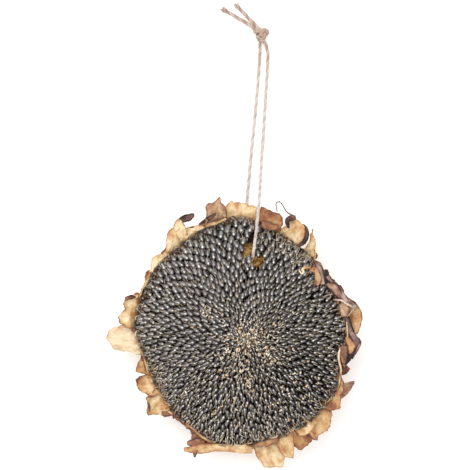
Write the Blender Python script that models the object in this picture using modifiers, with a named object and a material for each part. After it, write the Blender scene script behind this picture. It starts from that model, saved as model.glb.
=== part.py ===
"""Dried sunflower seed head, lying on its back with the seeds facing up, and the twine it is hung by.

Lengths are in millimetres until a point is made, where MM turns them to metres. The origin is the
middle of the cut face of the stem, on which the head rests. A place on the head is given by its
bearing, in degrees anticlockwise from +X, its distance out and its height.
"""

import math
import random

import bmesh
import bpy
from mathutils import Vector
from mathutils.geometry import delaunay_2d_cdt

MM = 0.001
GAP = 0.35  # clearance between pieces that touch on the real head
CUTTERS = "cutters"

# Head: the edge of the seed field, read every 15 degrees
RIM_STEP = 15
RIM_RADII = (
    82.5, 80.0, 76.5, 79.0, 80.5, 83.5, 89.0, 86.0, 82.8, 82.0, 82.7, 83.0,
    83.0, 78.0, 78.5, 81.0, 85.0, 89.5, 89.0, 87.5, 88.5, 89.0, 86.5, 80.5,
)
MEAN_RADIUS = sum(RIM_RADII) / len(RIM_RADII)
RIM_SIDES = 48

# Receptacle: the pith disc that carries the seeds and grows the bracts
STEM_RADIUS = 15.0  # of the cut face
STEM_FLARE = 25.0
STEM_TOP = 12.0  # inside the back
STEM_RIBS = 10
BACK_HEIGHT = 9.0  # of the middle of the back above the cut face of the stem
DISH_HEIGHT = 20.0  # of the floor that the seeds stand on
LIP_HEIGHT = 27.0
DISH_TOP = 32.3  # up to where the bracts are trimmed clear of the seeds
LIP_WIDTH = 1.2
ROUND_UNTIL = 30.0  # inside this radius the back is round, outside it follows the rim

# Seeds
SEED_COUNT = 980
SEED_SPREAD = 0.56  # over 0.5, so the seeds grow from the middle to the rim
GOLDEN_ANGLE = 137.50776
WHORL_CENTRE = (4.0, -7.9)  # where the spirals meet, a little below the middle of the head
SEED_FLOOR = DISH_HEIGHT + GAP
MIDDLE_TOP = 29.5
RIM_TOP = 31.5
RELIEF = 3.4  # of a seed's tip above the groove round it
SEED_LEAN = 0.9  # how far a tip at the rim leans inwards
EDGE_MARGIN = 1.5  # from the outermost tips to the edge
EDGE_DROP = 2.2  # of the outermost grooves below the others
INSIDE_OUTLINE = 1  # asks for the triangles within the outline alone

# Twine hole: some seeds are gone round it and leave a pocket
HOLE = (9.5, 58.5)
HOLE_RADIUS = 2.3
POCKET_CENTRE = (7.5, 64.0)
POCKET_HALF = (5.6, 10.5)
POCKET_DEPTH = 6.0

# Bracts
BRACT_THICKNESS = 0.8
FLAT_ANGLE = math.radians(0.8)  # faces that meet at less than this are one face
BRACT_ACROSS, BRACT_ALONG = 2, 4

# Twine
TWINE_DIAMETER = 2.6
FLOOR = TWINE_DIAMETER / 2 + 0.3  # height of twine that lies on the surface
KNOT_CENTRE = (16.0, 235.4, 5.0)
KNOT_HALF = (5.2, 5.0, 3.8)
KNOT_TURN_RADIUS = 4.3
KNOT_TURNS = ((48, -58), (48, 12))  # tilt and swing of each turn of the strands, in degrees


def rim_radius(bearing):
    """Radius of the seed field at a bearing, on a smooth closed curve through RIM_RADII."""
    place = (bearing / RIM_STEP) % len(RIM_RADII)
    first = int(place)
    share = place - first
    before, low, high, after = (RIM_RADII[(first + k) % len(RIM_RADII)] for k in (-1, 0, 1, 2))
    return smooth_between(before, low, high, after, share)


def smooth_between(before, low, high, after, share):
    """Catmull-Rom curve from low to high."""
    rise = (high - before) / 2
    fall = (after - low) / 2
    square, cube = share**2, share**3
    return (
        low * (2 * cube - 3 * square + 1)
        + high * (3 * square - 2 * cube)
        + rise * (cube - 2 * square + share)
        + fall * (cube - square)
    )


def along_stations(stations, share):
    """The stations' values at a share of the way from the first to the last."""
    place = min(max(share, 0.0), 1.0) * (len(stations) - 1)
    first = min(int(place), len(stations) - 2)
    picks = [min(max(first + k, 0), len(stations) - 1) for k in (-1, 0, 1, 2)]
    columns = zip(*(stations[k] for k in picks))
    return [smooth_between(*column, place - first) for column in columns]


def on_head(bearing, radius, height):
    """A point in millimetres from its bearing, distance from the origin and height."""
    turn = math.radians(bearing)
    return Vector((radius * math.cos(turn), radius * math.sin(turn), height))


def clear_scene():
    for obj in list(bpy.data.objects):
        bpy.data.objects.remove(obj, do_unlink=True)


def new_collection(name, parent):
    made = bpy.data.collections.new(name)
    parent.children.link(made)
    return made


def new_material(name, colour, roughness):
    made = bpy.data.materials.new(name)
    made.use_nodes = True
    shader = made.node_tree.nodes["Principled BSDF"]
    shader.inputs["Base Color"].default_value = (*colour, 1.0)
    shader.inputs["Roughness"].default_value = roughness
    shader.inputs["Metallic"].default_value = 0.0
    made.diffuse_color = (*colour, 1.0)
    return made


def new_object(name, mesh, collection, material=None):
    obj = bpy.data.objects.new(name, mesh)
    collection.objects.link(obj)
    if material:
        obj.data.materials.append(material)
    return obj


def apply_modifiers(obj):
    graph = bpy.context.evaluated_depsgraph_get()
    mesh = bpy.data.meshes.new_from_object(obj.evaluated_get(graph))
    obj.modifiers.clear()
    obj.data = mesh


def keep_largest_shell(obj):
    """Drops scraps that a union left loose, and fills hollows that it sealed."""
    shape = bmesh.new()
    shape.from_mesh(obj.data)
    left = set(shape.faces)
    shells = []
    while left:
        todo = [left.pop()]
        shell = set(todo)
        while todo:
            for edge in todo.pop().edges:
                beside = left.intersection(edge.link_faces)
                left -= beside
                shell |= beside
                todo.extend(beside)
        shells.append(shell)
    largest = max(shells, key=len)
    loose = [face for face in shape.faces if face not in largest]
    bmesh.ops.delete(shape, geom=loose, context="FACES")
    shape.to_mesh(obj.data)
    shape.free()


def boolean(obj, operation, operand, solver="EXACT"):
    modifier = obj.modifiers.new(operation.title(), "BOOLEAN")
    modifier.operation = operation
    modifier.solver = solver
    if isinstance(operand, bpy.types.Collection):
        modifier.operand_type = "COLLECTION"
        modifier.collection = operand
    else:
        modifier.object = operand
    return modifier


def merge_flat_faces(obj):
    """Joins the faces that a union cut in one plane, and turns them all to triangles."""
    shape = bmesh.new()
    shape.from_mesh(obj.data)
    bmesh.ops.dissolve_limit(shape, angle_limit=FLAT_ANGLE, verts=shape.verts, edges=shape.edges)
    bmesh.ops.triangulate(shape, faces=shape.faces)
    shape.to_mesh(obj.data)
    shape.free()


def move_to(obj, collection):
    """Links the object to this collection alone, and hides it if the collection holds cutters."""
    for owner in list(obj.users_collection):
        owner.objects.unlink(obj)
    collection.objects.link(obj)
    if collection.name == CUTTERS:
        obj.hide_render = True
        obj.display_type = "WIRE"


def remove_collection(collection):
    for obj in list(collection.objects):
        bpy.data.objects.remove(obj, do_unlink=True)
    bpy.data.collections.remove(collection)


def make_hole_cutter(collection):
    """The hole that the twine is threaded through, cut from the seeds and the receptacle alike."""
    bpy.ops.mesh.primitive_cylinder_add(
        vertices=12, radius=HOLE_RADIUS * MM, depth=60 * MM, location=(HOLE[0] * MM, HOLE[1] * MM, 20 * MM)
    )
    cutter = bpy.context.object
    cutter.name = "twine_hole_cutter"
    move_to(cutter, collection)
    return cutter


# Receptacle


def receptacle_profile():
    """Half section from the middle of the top, over the lip and down the back to the middle."""
    rim = MEAN_RADIUS + GAP
    return [
        (0, LIP_HEIGHT),
        (rim + LIP_WIDTH * 0.5, LIP_HEIGHT),
        (rim + LIP_WIDTH, LIP_HEIGHT - 1.5),
        (rim + LIP_WIDTH * 0.8, 20.5),
        (rim - 4.0, 16.8),
        (73, 14.2),
        (60, 11.5),
        (42, BACK_HEIGHT + 0.6),
        (28, BACK_HEIGHT),
        (0, BACK_HEIGHT),
    ]


def make_stem(collection):
    """The ribbed stub that is left of the stem, widening into the back of the head."""
    bpy.ops.mesh.primitive_cone_add(
        vertices=STEM_RIBS,
        radius1=STEM_RADIUS * MM,
        radius2=STEM_FLARE * MM,
        depth=STEM_TOP * MM,
        location=(0, 0, STEM_TOP / 2 * MM),
    )
    stem = bpy.context.object
    bpy.ops.object.transform_apply(location=True)
    move_to(stem, collection)


def make_dish_cutter(collection):
    """The shallow dish that the seeds stand in, which also trims the bracts' roots."""
    bpy.ops.mesh.primitive_cylinder_add(vertices=RIM_SIDES, radius=1, depth=1)
    cutter = bpy.context.object
    cutter.name = "dish_cutter"
    for vert in cutter.data.vertices:
        bearing = math.degrees(math.atan2(vert.co.y, vert.co.x))
        height = DISH_HEIGHT if vert.co.z < 0 else DISH_TOP
        vert.co = on_head(bearing, rim_radius(bearing) + GAP, height) * MM
    move_to(cutter, collection)
    return cutter


def make_receptacle(collection, material):
    profile = bpy.data.meshes.new("receptacle")
    points = [(radius * MM, 0, height * MM) for radius, height in receptacle_profile()]
    profile.from_pydata(points, [(k, k + 1) for k in range(len(points) - 1)], [])
    receptacle = new_object("receptacle", profile, collection)
    screw = receptacle.modifiers.new("Turn", "SCREW")
    screw.steps = screw.render_steps = RIM_SIDES
    screw.use_merge_vertices = True
    screw.merge_threshold = 0.01 * MM
    apply_modifiers(receptacle)
    for vert in receptacle.data.vertices:
        radius = vert.co.xy.length / MM
        bearing = math.degrees(math.atan2(vert.co.y, vert.co.x))
        follow = min(max((radius - ROUND_UNTIL) / (MEAN_RADIUS - ROUND_UNTIL), 0), 1)
        vert.co.xy *= 1 + (rim_radius(bearing) / MEAN_RADIUS - 1) * follow
    receptacle.data.materials.append(material)
    return receptacle


# Bracts: each has stations from its root to its tip, and each station is a bearing, a distance out
# from the seeds' edge, a height and a width. turn is the yaw and the pitch of the blade's width at
# the root and at the tip: at 0, 0 it lies level along the rim, and at 90, 0 it points outwards. cup
# raises the edges of the blade by a share of its half width.

BRACTS = {
    "top_pale": {
        "stations": ((90.5, -12, 17.5, 18), (90.5, 2.2, 24, 21), (90.3, 7, 30.5, 22), (90.6, 13, 32, 18)),
        "cup": 0.10,
    },
    "top_brown_leaf": {
        "stations": ((104, -12, 17.5, 14), (104, 2, 24, 17), (102.5, 9, 31, 15), (100.3, 19.5, 36, 3)),
        "cup": 0.25,
    },
    "top_left_curl": {
        "stations": ((124, -10, 17.5, 20), (123, 2.2, 24, 24), (121.5, 10, 33, 15), (118, 15, 37, 8), (113.5, 16, 36, 5)),
        "cup": 0.15,
        "along": 6,
    },
    "top_left_low": {
        "stations": ((112, -10, 17.5, 12), (112, 2, 24, 16), (113, 5, 30, 12), (117, 7, 33, 3)),
        "cup": 0.15,
    },
    "left_hump": {
        "stations": ((140, -9, 17.5, 14), (140, 2.2, 24, 18), (140, 5.5, 30, 15), (140, 7, 34, 7)),
        "cup": 0.10,
    },
    "left_rim_strip": {
        "stations": ((153.5, -9, 17.5, 16), (153.5, 1.5, 24, 20), (153.5, 2.3, 30, 17), (155, 1.8, 33.5, 7)),
        "cup": 0.05,
    },
    "left_yellow": {
        "stations": ((169.5, -9, 17.5, 22), (169.5, 2.2, 24, 25), (169.5, 8, 31, 25), (169.5, 12.5, 35, 19)),
        "cup": 0.12,
    },
    "left_pale_tongue": {
        "stations": ((186, -9, 17.5, 19), (186, 2.2, 23, 22), (185, 12, 28, 18), (183, 24.5, 30, 6)),
        "cup": 0.12,
    },
    "left_orange_hump": {
        "stations": ((200.5, -8, 17.5, 12), (200.5, 2, 24, 15), (200.5, 7, 31, 13), (200, 9.5, 34, 6)),
        "cup": 0.30,
    },
    "left_low_tan": {
        "stations": ((211, -8, 17.5, 13), (211, 2, 24, 15), (209.5, 8.5, 30, 11), (206, 13.5, 32, 3)),
        "cup": 0.10,
    },
    "low_left_brown": {
        "stations": ((223.5, -9, 17.5, 17), (223.5, 2, 24, 21), (222.5, 10, 30, 15), (221.7, 18.3, 31, 3)),
        "cup": 0.12,
    },
    "low_left_rim": {
        "stations": ((241, -9, 17.5, 13), (241, 1.8, 24, 16), (241, 3, 29, 13), (241, 3.5, 32, 5)),
        "cup": 0.10,
    },
    "bottom_left_behind": {
        "stations": ((250, -10, 16.5, 11), (249.5, 2, 19, 13), (248.8, 7.5, 22, 11), (248, 12, 23, 7)),
        "cup": 0.10,
    },
    "bottom_long_strip": {
        "stations": ((276, 5.2, 26, 7), (268.5, 4.4, 26.5, 7), (260, 4.6, 27, 6), (252, 10.5, 28, 7.5), (245, 16.5, 28, 4)),
        "turn": ((90, 8), (70, 5)),
        "cup": 0.15,
        "along": 6,
    },
    "bottom_rim_brown": {
        "stations": ((278.5, -9, 17.5, 19), (278.5, 2, 24, 25), (278.5, 4.2, 30, 22), (278.5, 3.2, 34, 8)),
        "cup": 0.05,
    },
    "bottom_big_pale": {
        "stations": ((282.5, -10, 16.5, 17), (282.5, 3.5, 18, 20), (283, 13.5, 24, 17), (283.5, 23.7, 25, 13.5)),
        "cup": 0.08,
    },
    "bottom_cream_point": {
        "stations": ((291.5, -9, 17.5, 9), (291.5, 2, 23, 11), (291.5, 11, 29, 10.5), (292, 20, 30, 3.5)),
        "cup": 0.10,
    },
    "bottom_brown": {
        "stations": ((299, -9, 16.5, 13), (299, 2.5, 20, 17), (299, 11, 25, 17), (299.3, 17, 26, 11)),
        "cup": 0.12,
    },
    "bottom_pale_front": {
        "stations": ((304.5, -7, 18, 11), (304.5, 1.6, 25, 14), (304.5, 4.8, 31, 13), (304.5, 8, 33, 6)),
        "cup": 0.12,
    },
    "right_low_orange": {
        "stations": ((311, -9, 16.5, 18), (311, 2.2, 21, 22), (311, 9.5, 27, 21), (309.5, 15.8, 29, 14)),
        "cup": 0.15,
    },
    "right_low_tan": {
        "stations": ((324, -9, 17.5, 15), (324, 2, 24, 19), (323.5, 6.5, 30, 13), (322.5, 10.8, 31.5, 3)),
        "cup": 0.10,
    },
    "right_low_strip": {
        "stations": ((333.5, -9, 17.5, 15), (333.5, 1.6, 24, 19), (333.5, 3.5, 30, 17), (333.5, 6, 33.5, 7)),
        "cup": 0.05,
    },
    "right_pink_point": {
        "stations": ((325, -1, 19, 7), (328, 5.2, 23, 9), (332, 9.5, 25.5, 7), (336.3, 13.3, 26, 2)),
        "turn": ((45, 10), (60, 10)),
        "cup": 0.15,
    },
    "right_dark_tip": {
        "stations": ((338, -8, 17, 7), (338, 1.8, 21, 9), (338.6, 5.3, 26, 8), (339.6, 8.5, 28, 4)),
        "cup": 0.20,
    },
    "right_brown_strip": {
        "stations": ((346, -8, 17.5, 14), (346, 1.4, 24, 17), (346, 3.6, 30, 15), (346, 5, 34, 7)),
        "cup": 0.10,
    },
    "right_dark_fold": {
        "stations": ((351, -8, 17, 13), (351.5, 2.2, 22, 17), (353, 8, 28, 13), (354.6, 13.3, 30, 3)),
        "cup": 0.35,
    },
    "right_loop": {
        "stations": ((4, -8, 17.5, 19), (4, 2, 23, 25), (5.5, 9, 30, 21), (7.5, 14, 33, 10)),
        "cup": 0.30,
        "along": 6,
    },
    "right_top_leaf": {
        "stations": ((21, -7, 17.5, 16), (21, 2, 24, 20), (19, 5.5, 30, 17), (14.5, 10, 33, 7)),
        "cup": 0.15,
    },
    "right_top_strip": {
        "stations": ((19, 1.5, 25, 7), (25, 3.3, 30, 8), (31, 4.2, 32, 6), (36, 5.0, 31, 3)),
        "turn": ((75, 30), (80, 15)),
        "cup": 0.15,
    },
    "right_folded_in": {
        "stations": ((37.5, -7, 17.5, 15), (37.5, 2.4, 25, 19), (37.5, 2.6, 33.5, 17), (39, -2.2, 37, 13), (42, -7, 36.8, 5)),
        "cup": 0.08,
        "along": 6,
    },
    "top_right_spike": {
        "stations": ((49, -8, 17.5, 12), (49.3, 2, 24, 14), (51.8, 10, 31, 9), (55.6, 19.3, 34, 2)),
        "cup": 0.15,
    },
    "top_right_curl": {
        "stations": ((61.5, -8, 17.5, 19), (61.5, 2.2, 24, 23), (61.3, 10, 32, 18), (63.5, 15, 37, 9), (66.5, 16, 36, 5)),
        "cup": 0.15,
        "along": 6,
    },
    "top_right_brown": {
        "stations": ((75, -9, 17.5, 14), (74.7, 2.2, 24, 18), (74.6, 8.5, 31, 17), (74.8, 13.5, 32, 13)),
        "cup": -0.15,
    },
    "top_right_lobe": {
        "stations": ((73, -9, 17.5, 11), (73, 1.4, 25, 13), (73, 1.8, 33, 12), (73.5, -1.4, 35.5, 6)),
        "cup": 0.05,
    },
}
LEVEL = ((0, 0), (0, 0))

# The outer bracts hug the side of the head under the ones above
OUTER_BRACTS = 17
OUTER_SEED = 11
OUTER_STATIONS = ((0, -17, 14.8, 16), (0, -7, 14.4, 20), (0, 1.2, 19, 17), (0, 4.0, 25, 5))


def blade_point(stations, turn, cup, across, along):
    """A point of a blade, from across, -1 to 1, and along, 0 at the root to 1 at the tip."""
    bearing, out, height, width = along_stations(stations, along)
    ahead, behind = (along_stations(stations, along + step)[:3] for step in (0.02, -0.02))
    middle = on_head(bearing, rim_radius(bearing) + out, height)
    way = on_head(ahead[0], rim_radius(ahead[0]) + ahead[1], ahead[2]) - on_head(
        behind[0], rim_radius(behind[0]) + behind[1], behind[2]
    )
    yaw, pitch = (low + (high - low) * along for low, high in zip(*turn))
    swung = math.radians(bearing + 90 - yaw)
    side = Vector((math.cos(swung), math.sin(swung), math.tan(math.radians(pitch)))).normalized()
    face = side.cross(way).normalized()
    if face.z < 0:
        face.negate()
    half = width / 2
    return (middle + side * across * half + face * cup * half * across**2) * MM


def make_blade(name, collection, stations, turn=LEVEL, cup=0.1, across=BRACT_ACROSS, along=BRACT_ALONG):
    """One bract as a closed thin blade."""
    bpy.ops.mesh.primitive_grid_add(x_subdivisions=across, y_subdivisions=along, size=2)
    blade = bpy.context.object
    blade.name = name
    move_to(blade, collection)
    for vert in blade.data.vertices:
        vert.co = blade_point(stations, turn, cup, vert.co.x, (vert.co.y + 1) / 2)
    shape = bmesh.new()
    shape.from_mesh(blade.data)
    bmesh.ops.triangulate(shape, faces=shape.faces)
    shape.to_mesh(blade.data)
    shape.free()
    solidify = blade.modifiers.new("Thickness", "SOLIDIFY")
    solidify.thickness = BRACT_THICKNESS * MM
    solidify.offset = 0
    apply_modifiers(blade)
    return blade


def make_bracts(collection):
    for name, bract in BRACTS.items():
        make_blade(name, collection, **bract)
    draw = random.Random(OUTER_SEED)
    for k in range(OUTER_BRACTS):
        bearing = 360 * k / OUTER_BRACTS + draw.uniform(-4, 4)
        lean = draw.uniform(-5, 5)
        stations = [
            (bearing + lean * share, out, height + draw.uniform(-0.5, 0.5), width * draw.uniform(0.85, 1.15))
            for (_, out, height, width), share in zip(OUTER_STATIONS, (0, 0.2, 0.6, 1))
        ]
        make_blade(f"outer_{k}", collection, stations, cup=0.12, along=3)


# Seeds


def seed_places():
    """The tip of each seed, in the spirals in which they grow, and how far out it is, from 0 to 1."""
    places = []
    for k in range(SEED_COUNT):
        share = ((k + 0.5) / SEED_COUNT) ** SEED_SPREAD
        bearing = k * GOLDEN_ANGLE
        reach = share * (rim_radius(bearing) - EDGE_MARGIN)
        turn = math.radians(bearing)
        x = WHORL_CENTRE[0] * (1 - share) + reach * math.cos(turn)
        y = WHORL_CENTRE[1] * (1 - share) + reach * math.sin(turn)
        places.append((x, y, share))
    return places


def in_pocket(x, y):
    return math.hypot((x - POCKET_CENTRE[0]) / POCKET_HALF[0], (y - POCKET_CENTRE[1]) / POCKET_HALF[1]) < 1


def top_height(share):
    return MIDDLE_TOP + (RIM_TOP - MIDDLE_TOP) * share**2


def share_out(x, y):
    bearing = math.degrees(math.atan2(y, x))
    return math.hypot(x, y) / rim_radius(bearing)


def groove_height(x, y):
    share = share_out(x, y)
    height = top_height(share) - RELIEF - EDGE_DROP * max(share - 0.9, 0) / 0.1
    return height - POCKET_DEPTH if in_pocket(x, y) else height


def make_seeds(collection, material):
    """One field of seeds: each is a six-sided bump between the grooves that part it from its neighbours."""
    edge = [on_head(360 * k / RIM_SIDES, rim_radius(360 * k / RIM_SIDES), 0).xy for k in range(RIM_SIDES)]
    seeds = seed_places()
    points = [Vector((x, y)) for x, y, _ in seeds] + edge
    outline = list(range(len(seeds), len(points)))
    triangles = delaunay_2d_cdt(points, [], [outline], INSIDE_OUTLINE, 1e-6)[2]

    shape = bmesh.new()
    tips = []
    for x, y, share in seeds:
        inwards = 1 - SEED_LEAN * share**2 / max(math.hypot(x, y), 1)
        gone = in_pocket(x, y)
        height = groove_height(x, y) if gone else top_height(share)
        tips.append(shape.verts.new(Vector((x * inwards, y * inwards, height)) * MM))
    rim = [shape.verts.new(Vector((*place, groove_height(*place))) * MM) for place in edge]
    corners = tips + rim

    grooves = []
    beside = {}
    for index, triangle in enumerate(triangles):
        middle = sum((points[k] for k in triangle), Vector((0, 0))) / 3
        grooves.append(shape.verts.new(Vector((*middle, groove_height(*middle))) * MM))
        for start, end in zip(triangle, triangle[1:] + triangle[:1]):
            beside[start, end] = index
    for (start, end), index in beside.items():
        across = beside.get((end, start))
        if across is None:
            shape.faces.new((corners[start], corners[end], grooves[index]))
        else:
            shape.faces.new((corners[start], grooves[across], grooves[index]))

    base = [shape.verts.new(Vector((*place, SEED_FLOOR)) * MM) for place in edge]
    for k in range(RIM_SIDES):
        after = (k + 1) % RIM_SIDES
        shape.faces.new((rim[k], base[k], base[after], rim[after]))
    shape.faces.new(base[::-1])
    bmesh.ops.recalc_face_normals(shape, faces=shape.faces)
    mesh = bpy.data.meshes.new("seeds")
    shape.to_mesh(mesh)
    shape.free()
    return new_object("seeds", mesh, collection, material)


# Twine: x, y and height of the points that each stretch is led through

TWINE_ROUTES = {
    "twine_front": (
        (9.5, 58.5, 15.4), (9.5, 58.5, 20.0), (9.5, 58.6, 25.0), (9.6, 59.6, 30.0), (9.9, 63.0, 33.6),
        (10.8, 69.5, 35.2), (11.9, 78.0, 36.0), (13.0, 88.0, 36.6), (14.0, 98.0, 35.6), (14.8, 108.0, 30.0),
        (15.3, 117.0, 20.5), (15.7, 125.0, 11.0), (16.2, 133.0, 4.6), (16.9, 142.0, 2.0), (17.6, 152.0, FLOOR),
        (18.6, 167.0, FLOOR), (19.6, 184.0, FLOOR), (20.7, 202.0, FLOOR), (21.3, 214.0, FLOOR),
        (21.2, 222.0, 2.2), (19.6, 227.6, 3.6), (18.4, 229.5, 4.2),
    ),
    "twine_back": (
        (9.5, 58.5, 15.0), (9.5, 58.5, 10.5), (9.4, 59.2, 6.6), (9.0, 62.5, 3.4), (8.0, 69.0, 1.9),
        (6.4, 79.0, FLOOR), (5.0, 90.0, FLOOR), (4.8, 102.0, FLOOR), (6.2, 119.0, FLOOR), (8.4, 143.0, FLOOR),
        (11.1, 170.0, FLOOR), (13.2, 194.0, FLOOR), (14.5, 212.0, FLOOR), (15.0, 220.0, 2.0), (15.1, 226.4, 3.4), (15.1, 228.9, 4.2),
    ),
    "twine_tail_long": (
        (10.9, 239.6, 4.6), (7.6, 242.2, 3.4), (3.6, 244.8, 2.4), (-0.5, 247.4, 1.8), (-5.5, 250.3, FLOOR),
        (-10.0, 252.8, FLOOR), (-14.5, 255.4, FLOOR),
    ),
    "twine_tail_short": (
        (12.9, 241.3, 4.6), (10.4, 243.9, 3.3), (7.4, 247.0, 2.3), (4.0, 250.6, FLOOR), (0.4, 254.3, FLOOR),
        (-3.0, 257.8, FLOOR),
    ),
}
TWINE_STEP = 6.0  # between the points of a tube


def smooth_route(route):
    """Points about TWINE_STEP apart on a smooth curve through the route's own points."""
    length = sum(math.dist(a, b) for a, b in zip(route, route[1:]))
    count = math.ceil(length / TWINE_STEP)
    return [along_stations(route, k / count) for k in range(count + 1)]


def make_twine(name, route, collection, material):
    curve = bpy.data.curves.new(name, "CURVE")
    curve.dimensions = "3D"
    curve.bevel_depth = TWINE_DIAMETER / 2 * MM
    curve.bevel_resolution = 2
    curve.use_fill_caps = True
    points = smooth_route(route)
    spline = curve.splines.new("POLY")
    spline.points.add(len(points) - 1)
    for spot, place in zip(spline.points, points):
        spot.co = (*(Vector(place) * MM), 1)
    return new_object(name, curve, collection, material)


def make_knot(collection, helpers, material):
    """The overhand knot: a core, and two turns of both strands that are drawn tight round it."""
    place = Vector(KNOT_CENTRE) * MM
    bpy.ops.mesh.primitive_uv_sphere_add(segments=12, ring_count=8, radius=1, location=place)
    knot = bpy.context.object
    knot.name = "twine_knot"
    knot.scale = Vector(KNOT_HALF) * MM
    bpy.ops.object.transform_apply(scale=True)
    for tilt, swing in KNOT_TURNS:
        bpy.ops.mesh.primitive_torus_add(
            major_segments=16,
            minor_segments=8,
            major_radius=KNOT_TURN_RADIUS * MM,
            minor_radius=TWINE_DIAMETER / 2 * MM,
            location=place,
            rotation=(math.radians(tilt), 0, math.radians(swing)),
        )
        move_to(bpy.context.object, helpers)
    move_to(knot, collection)
    boolean(knot, "UNION", helpers)
    apply_modifiers(knot)
    knot.data.materials.append(material)
    return knot


def main():
    clear_scene()
    scene = bpy.context.scene.collection
    head = new_collection("sunflower_seed_head", scene)
    cutters = new_collection(CUTTERS, scene)
    blades = new_collection("bract_blades", scene)
    turns = new_collection("knot_turns", scene)

    straw = new_material("dry_bract", (0.62, 0.42, 0.22), 0.85)
    black = new_material("seed_hull", (0.03, 0.03, 0.035), 0.45)
    jute = new_material("jute_twine", (0.68, 0.56, 0.44), 0.95)

    hole = make_hole_cutter(cutters)
    dish = make_dish_cutter(cutters)
    receptacle = make_receptacle(head, straw)
    make_bracts(blades)
    make_stem(blades)
    boolean(receptacle, "UNION", blades)
    boolean(receptacle, "DIFFERENCE", dish)
    apply_modifiers(receptacle)
    keep_largest_shell(receptacle)
    merge_flat_faces(receptacle)
    boolean(receptacle, "DIFFERENCE", hole)
    remove_collection(blades)

    seeds = make_seeds(head, black)
    boolean(seeds, "DIFFERENCE", hole)

    for name, route in TWINE_ROUTES.items():
        make_twine(name, route, head, jute)
    make_knot(head, turns, jute)
    remove_collection(turns)


main()
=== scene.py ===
"""Dried sunflower seed head on its back on a pale surface, with the twine that it is hung by.

Sizes are in millimetres and angles in degrees, and MM turns a finished point to metres. A place on
the head is its bearing, anticlockwise from +X, its distance from the middle and its height.
"""

import math
import random

import bpy
from mathutils import Matrix, Vector, noise


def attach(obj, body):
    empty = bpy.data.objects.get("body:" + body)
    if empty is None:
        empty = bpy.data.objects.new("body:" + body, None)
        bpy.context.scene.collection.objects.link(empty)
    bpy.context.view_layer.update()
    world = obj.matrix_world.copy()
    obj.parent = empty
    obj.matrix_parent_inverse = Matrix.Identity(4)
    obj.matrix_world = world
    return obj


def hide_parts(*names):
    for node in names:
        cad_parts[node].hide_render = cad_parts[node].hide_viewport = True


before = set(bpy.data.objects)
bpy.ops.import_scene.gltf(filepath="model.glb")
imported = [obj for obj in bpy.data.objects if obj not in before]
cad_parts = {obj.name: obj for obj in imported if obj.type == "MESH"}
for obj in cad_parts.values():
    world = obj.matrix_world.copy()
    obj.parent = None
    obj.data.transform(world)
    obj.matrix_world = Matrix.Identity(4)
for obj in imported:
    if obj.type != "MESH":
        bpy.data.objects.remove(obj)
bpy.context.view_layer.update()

# Pith disc
# The receptacle is a disc of dry spongy pith under a thin rind, about 168 mm across. It is turned
# ring by ring from the back, and pushed out to the uneven edge that the seed field has.

MM = 0.001
RIM_STEP = 15
RIM_RADII = (  # at every RIM_STEP degrees, from bearing 0
    82.5, 80.0, 76.5, 79.0, 80.5, 83.5, 89.0, 86.0, 82.8, 82.0, 82.7, 83.0,
    83.0, 78.0, 78.5, 81.0, 85.0, 89.5, 89.0, 87.5, 88.5, 89.0, 86.5, 80.5,
)
MEAN_RADIUS = sum(RIM_RADII) / len(RIM_RADII)
ROUND_UNTIL = 30.0  # the disc is round up to this radius, and takes the rim's shape from there on
DISC_SIDES = 180
BACK_PROFILE = (  # radius and height, from the stem to the rim
    (20, 9.2), (28, 9.0), (35, 9.2), (42, 9.6), (48, 10.2), (54, 10.9), (60, 11.6), (66, 12.7),
    (71, 13.8), (76, 15.4), (80, 17.2), (83, 19.4), (84.6, 21.5), (84.9, 23.6), (84.8, 24.8), (84.4, 25.4),
)
DISH_PROFILE = ((83.9, 25.2), (83.7, 24.0), (83.3, 20.6), (76, 20.2), (60, 20.1), (40, 20.0), (20, 20.0))
FURROWED_UNTIL = 19.0  # the height up to which the back is furrowed
FURROW_DEPTH = 0.9
FURROW_CELLS, FURROW_REACH = 9.0, 90.0  # cells of noise in a radian, and in this reach outwards
FULL_FURROWS = 40.0  # the radius from which the furrows are full, and inside which they fade


def smooth_between(before, low, high, after, share):
    """Catmull-Rom curve from low to high."""
    rise = (high - before) / 2
    fall = (after - low) / 2
    square, cube = share**2, share**3
    return (
        low * (2 * cube - 3 * square + 1)
        + high * (3 * square - 2 * cube)
        + rise * (cube - 2 * square + share)
        + fall * (cube - square)
    )


def along_stations(stations, share):
    """The stations' values at a share of the way from the first to the last."""
    place = min(max(share, 0.0), 1.0) * (len(stations) - 1)
    first = min(int(place), len(stations) - 2)
    picks = [min(max(first + k, 0), len(stations) - 1) for k in (-1, 0, 1, 2)]
    columns = zip(*(stations[k] for k in picks))
    return [smooth_between(*column, place - first) for column in columns]


def rim_radius(bearing):
    """Radius of the seed field at a bearing, on a smooth closed curve through RIM_RADII."""
    place = (bearing / RIM_STEP) % len(RIM_RADII)
    first = int(place)
    picks = [RIM_RADII[(first + k) % len(RIM_RADII)] for k in (-1, 0, 1, 2)]
    return smooth_between(*picks, place - first)


def on_head(bearing, radius, height):
    turn = math.radians(bearing)
    return Vector((radius * math.cos(turn), radius * math.sin(turn), height))


def linear(colour, alpha=1.0):
    """An sRGB hex colour as linear red, green, blue and alpha."""
    parts = [int(colour[k : k + 2], 16) / 255 for k in (0, 2, 4)]
    return (*(p / 12.92 if p <= 0.04045 else ((p + 0.055) / 1.055) ** 2.4 for p in parts), alpha)


def new_material(name):
    """An empty material, its node tree and its output node."""
    made = bpy.data.materials.new(name)
    made.use_nodes = True
    tree = made.node_tree
    tree.nodes.clear()
    return made, tree, tree.nodes.new("ShaderNodeOutputMaterial")


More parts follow.
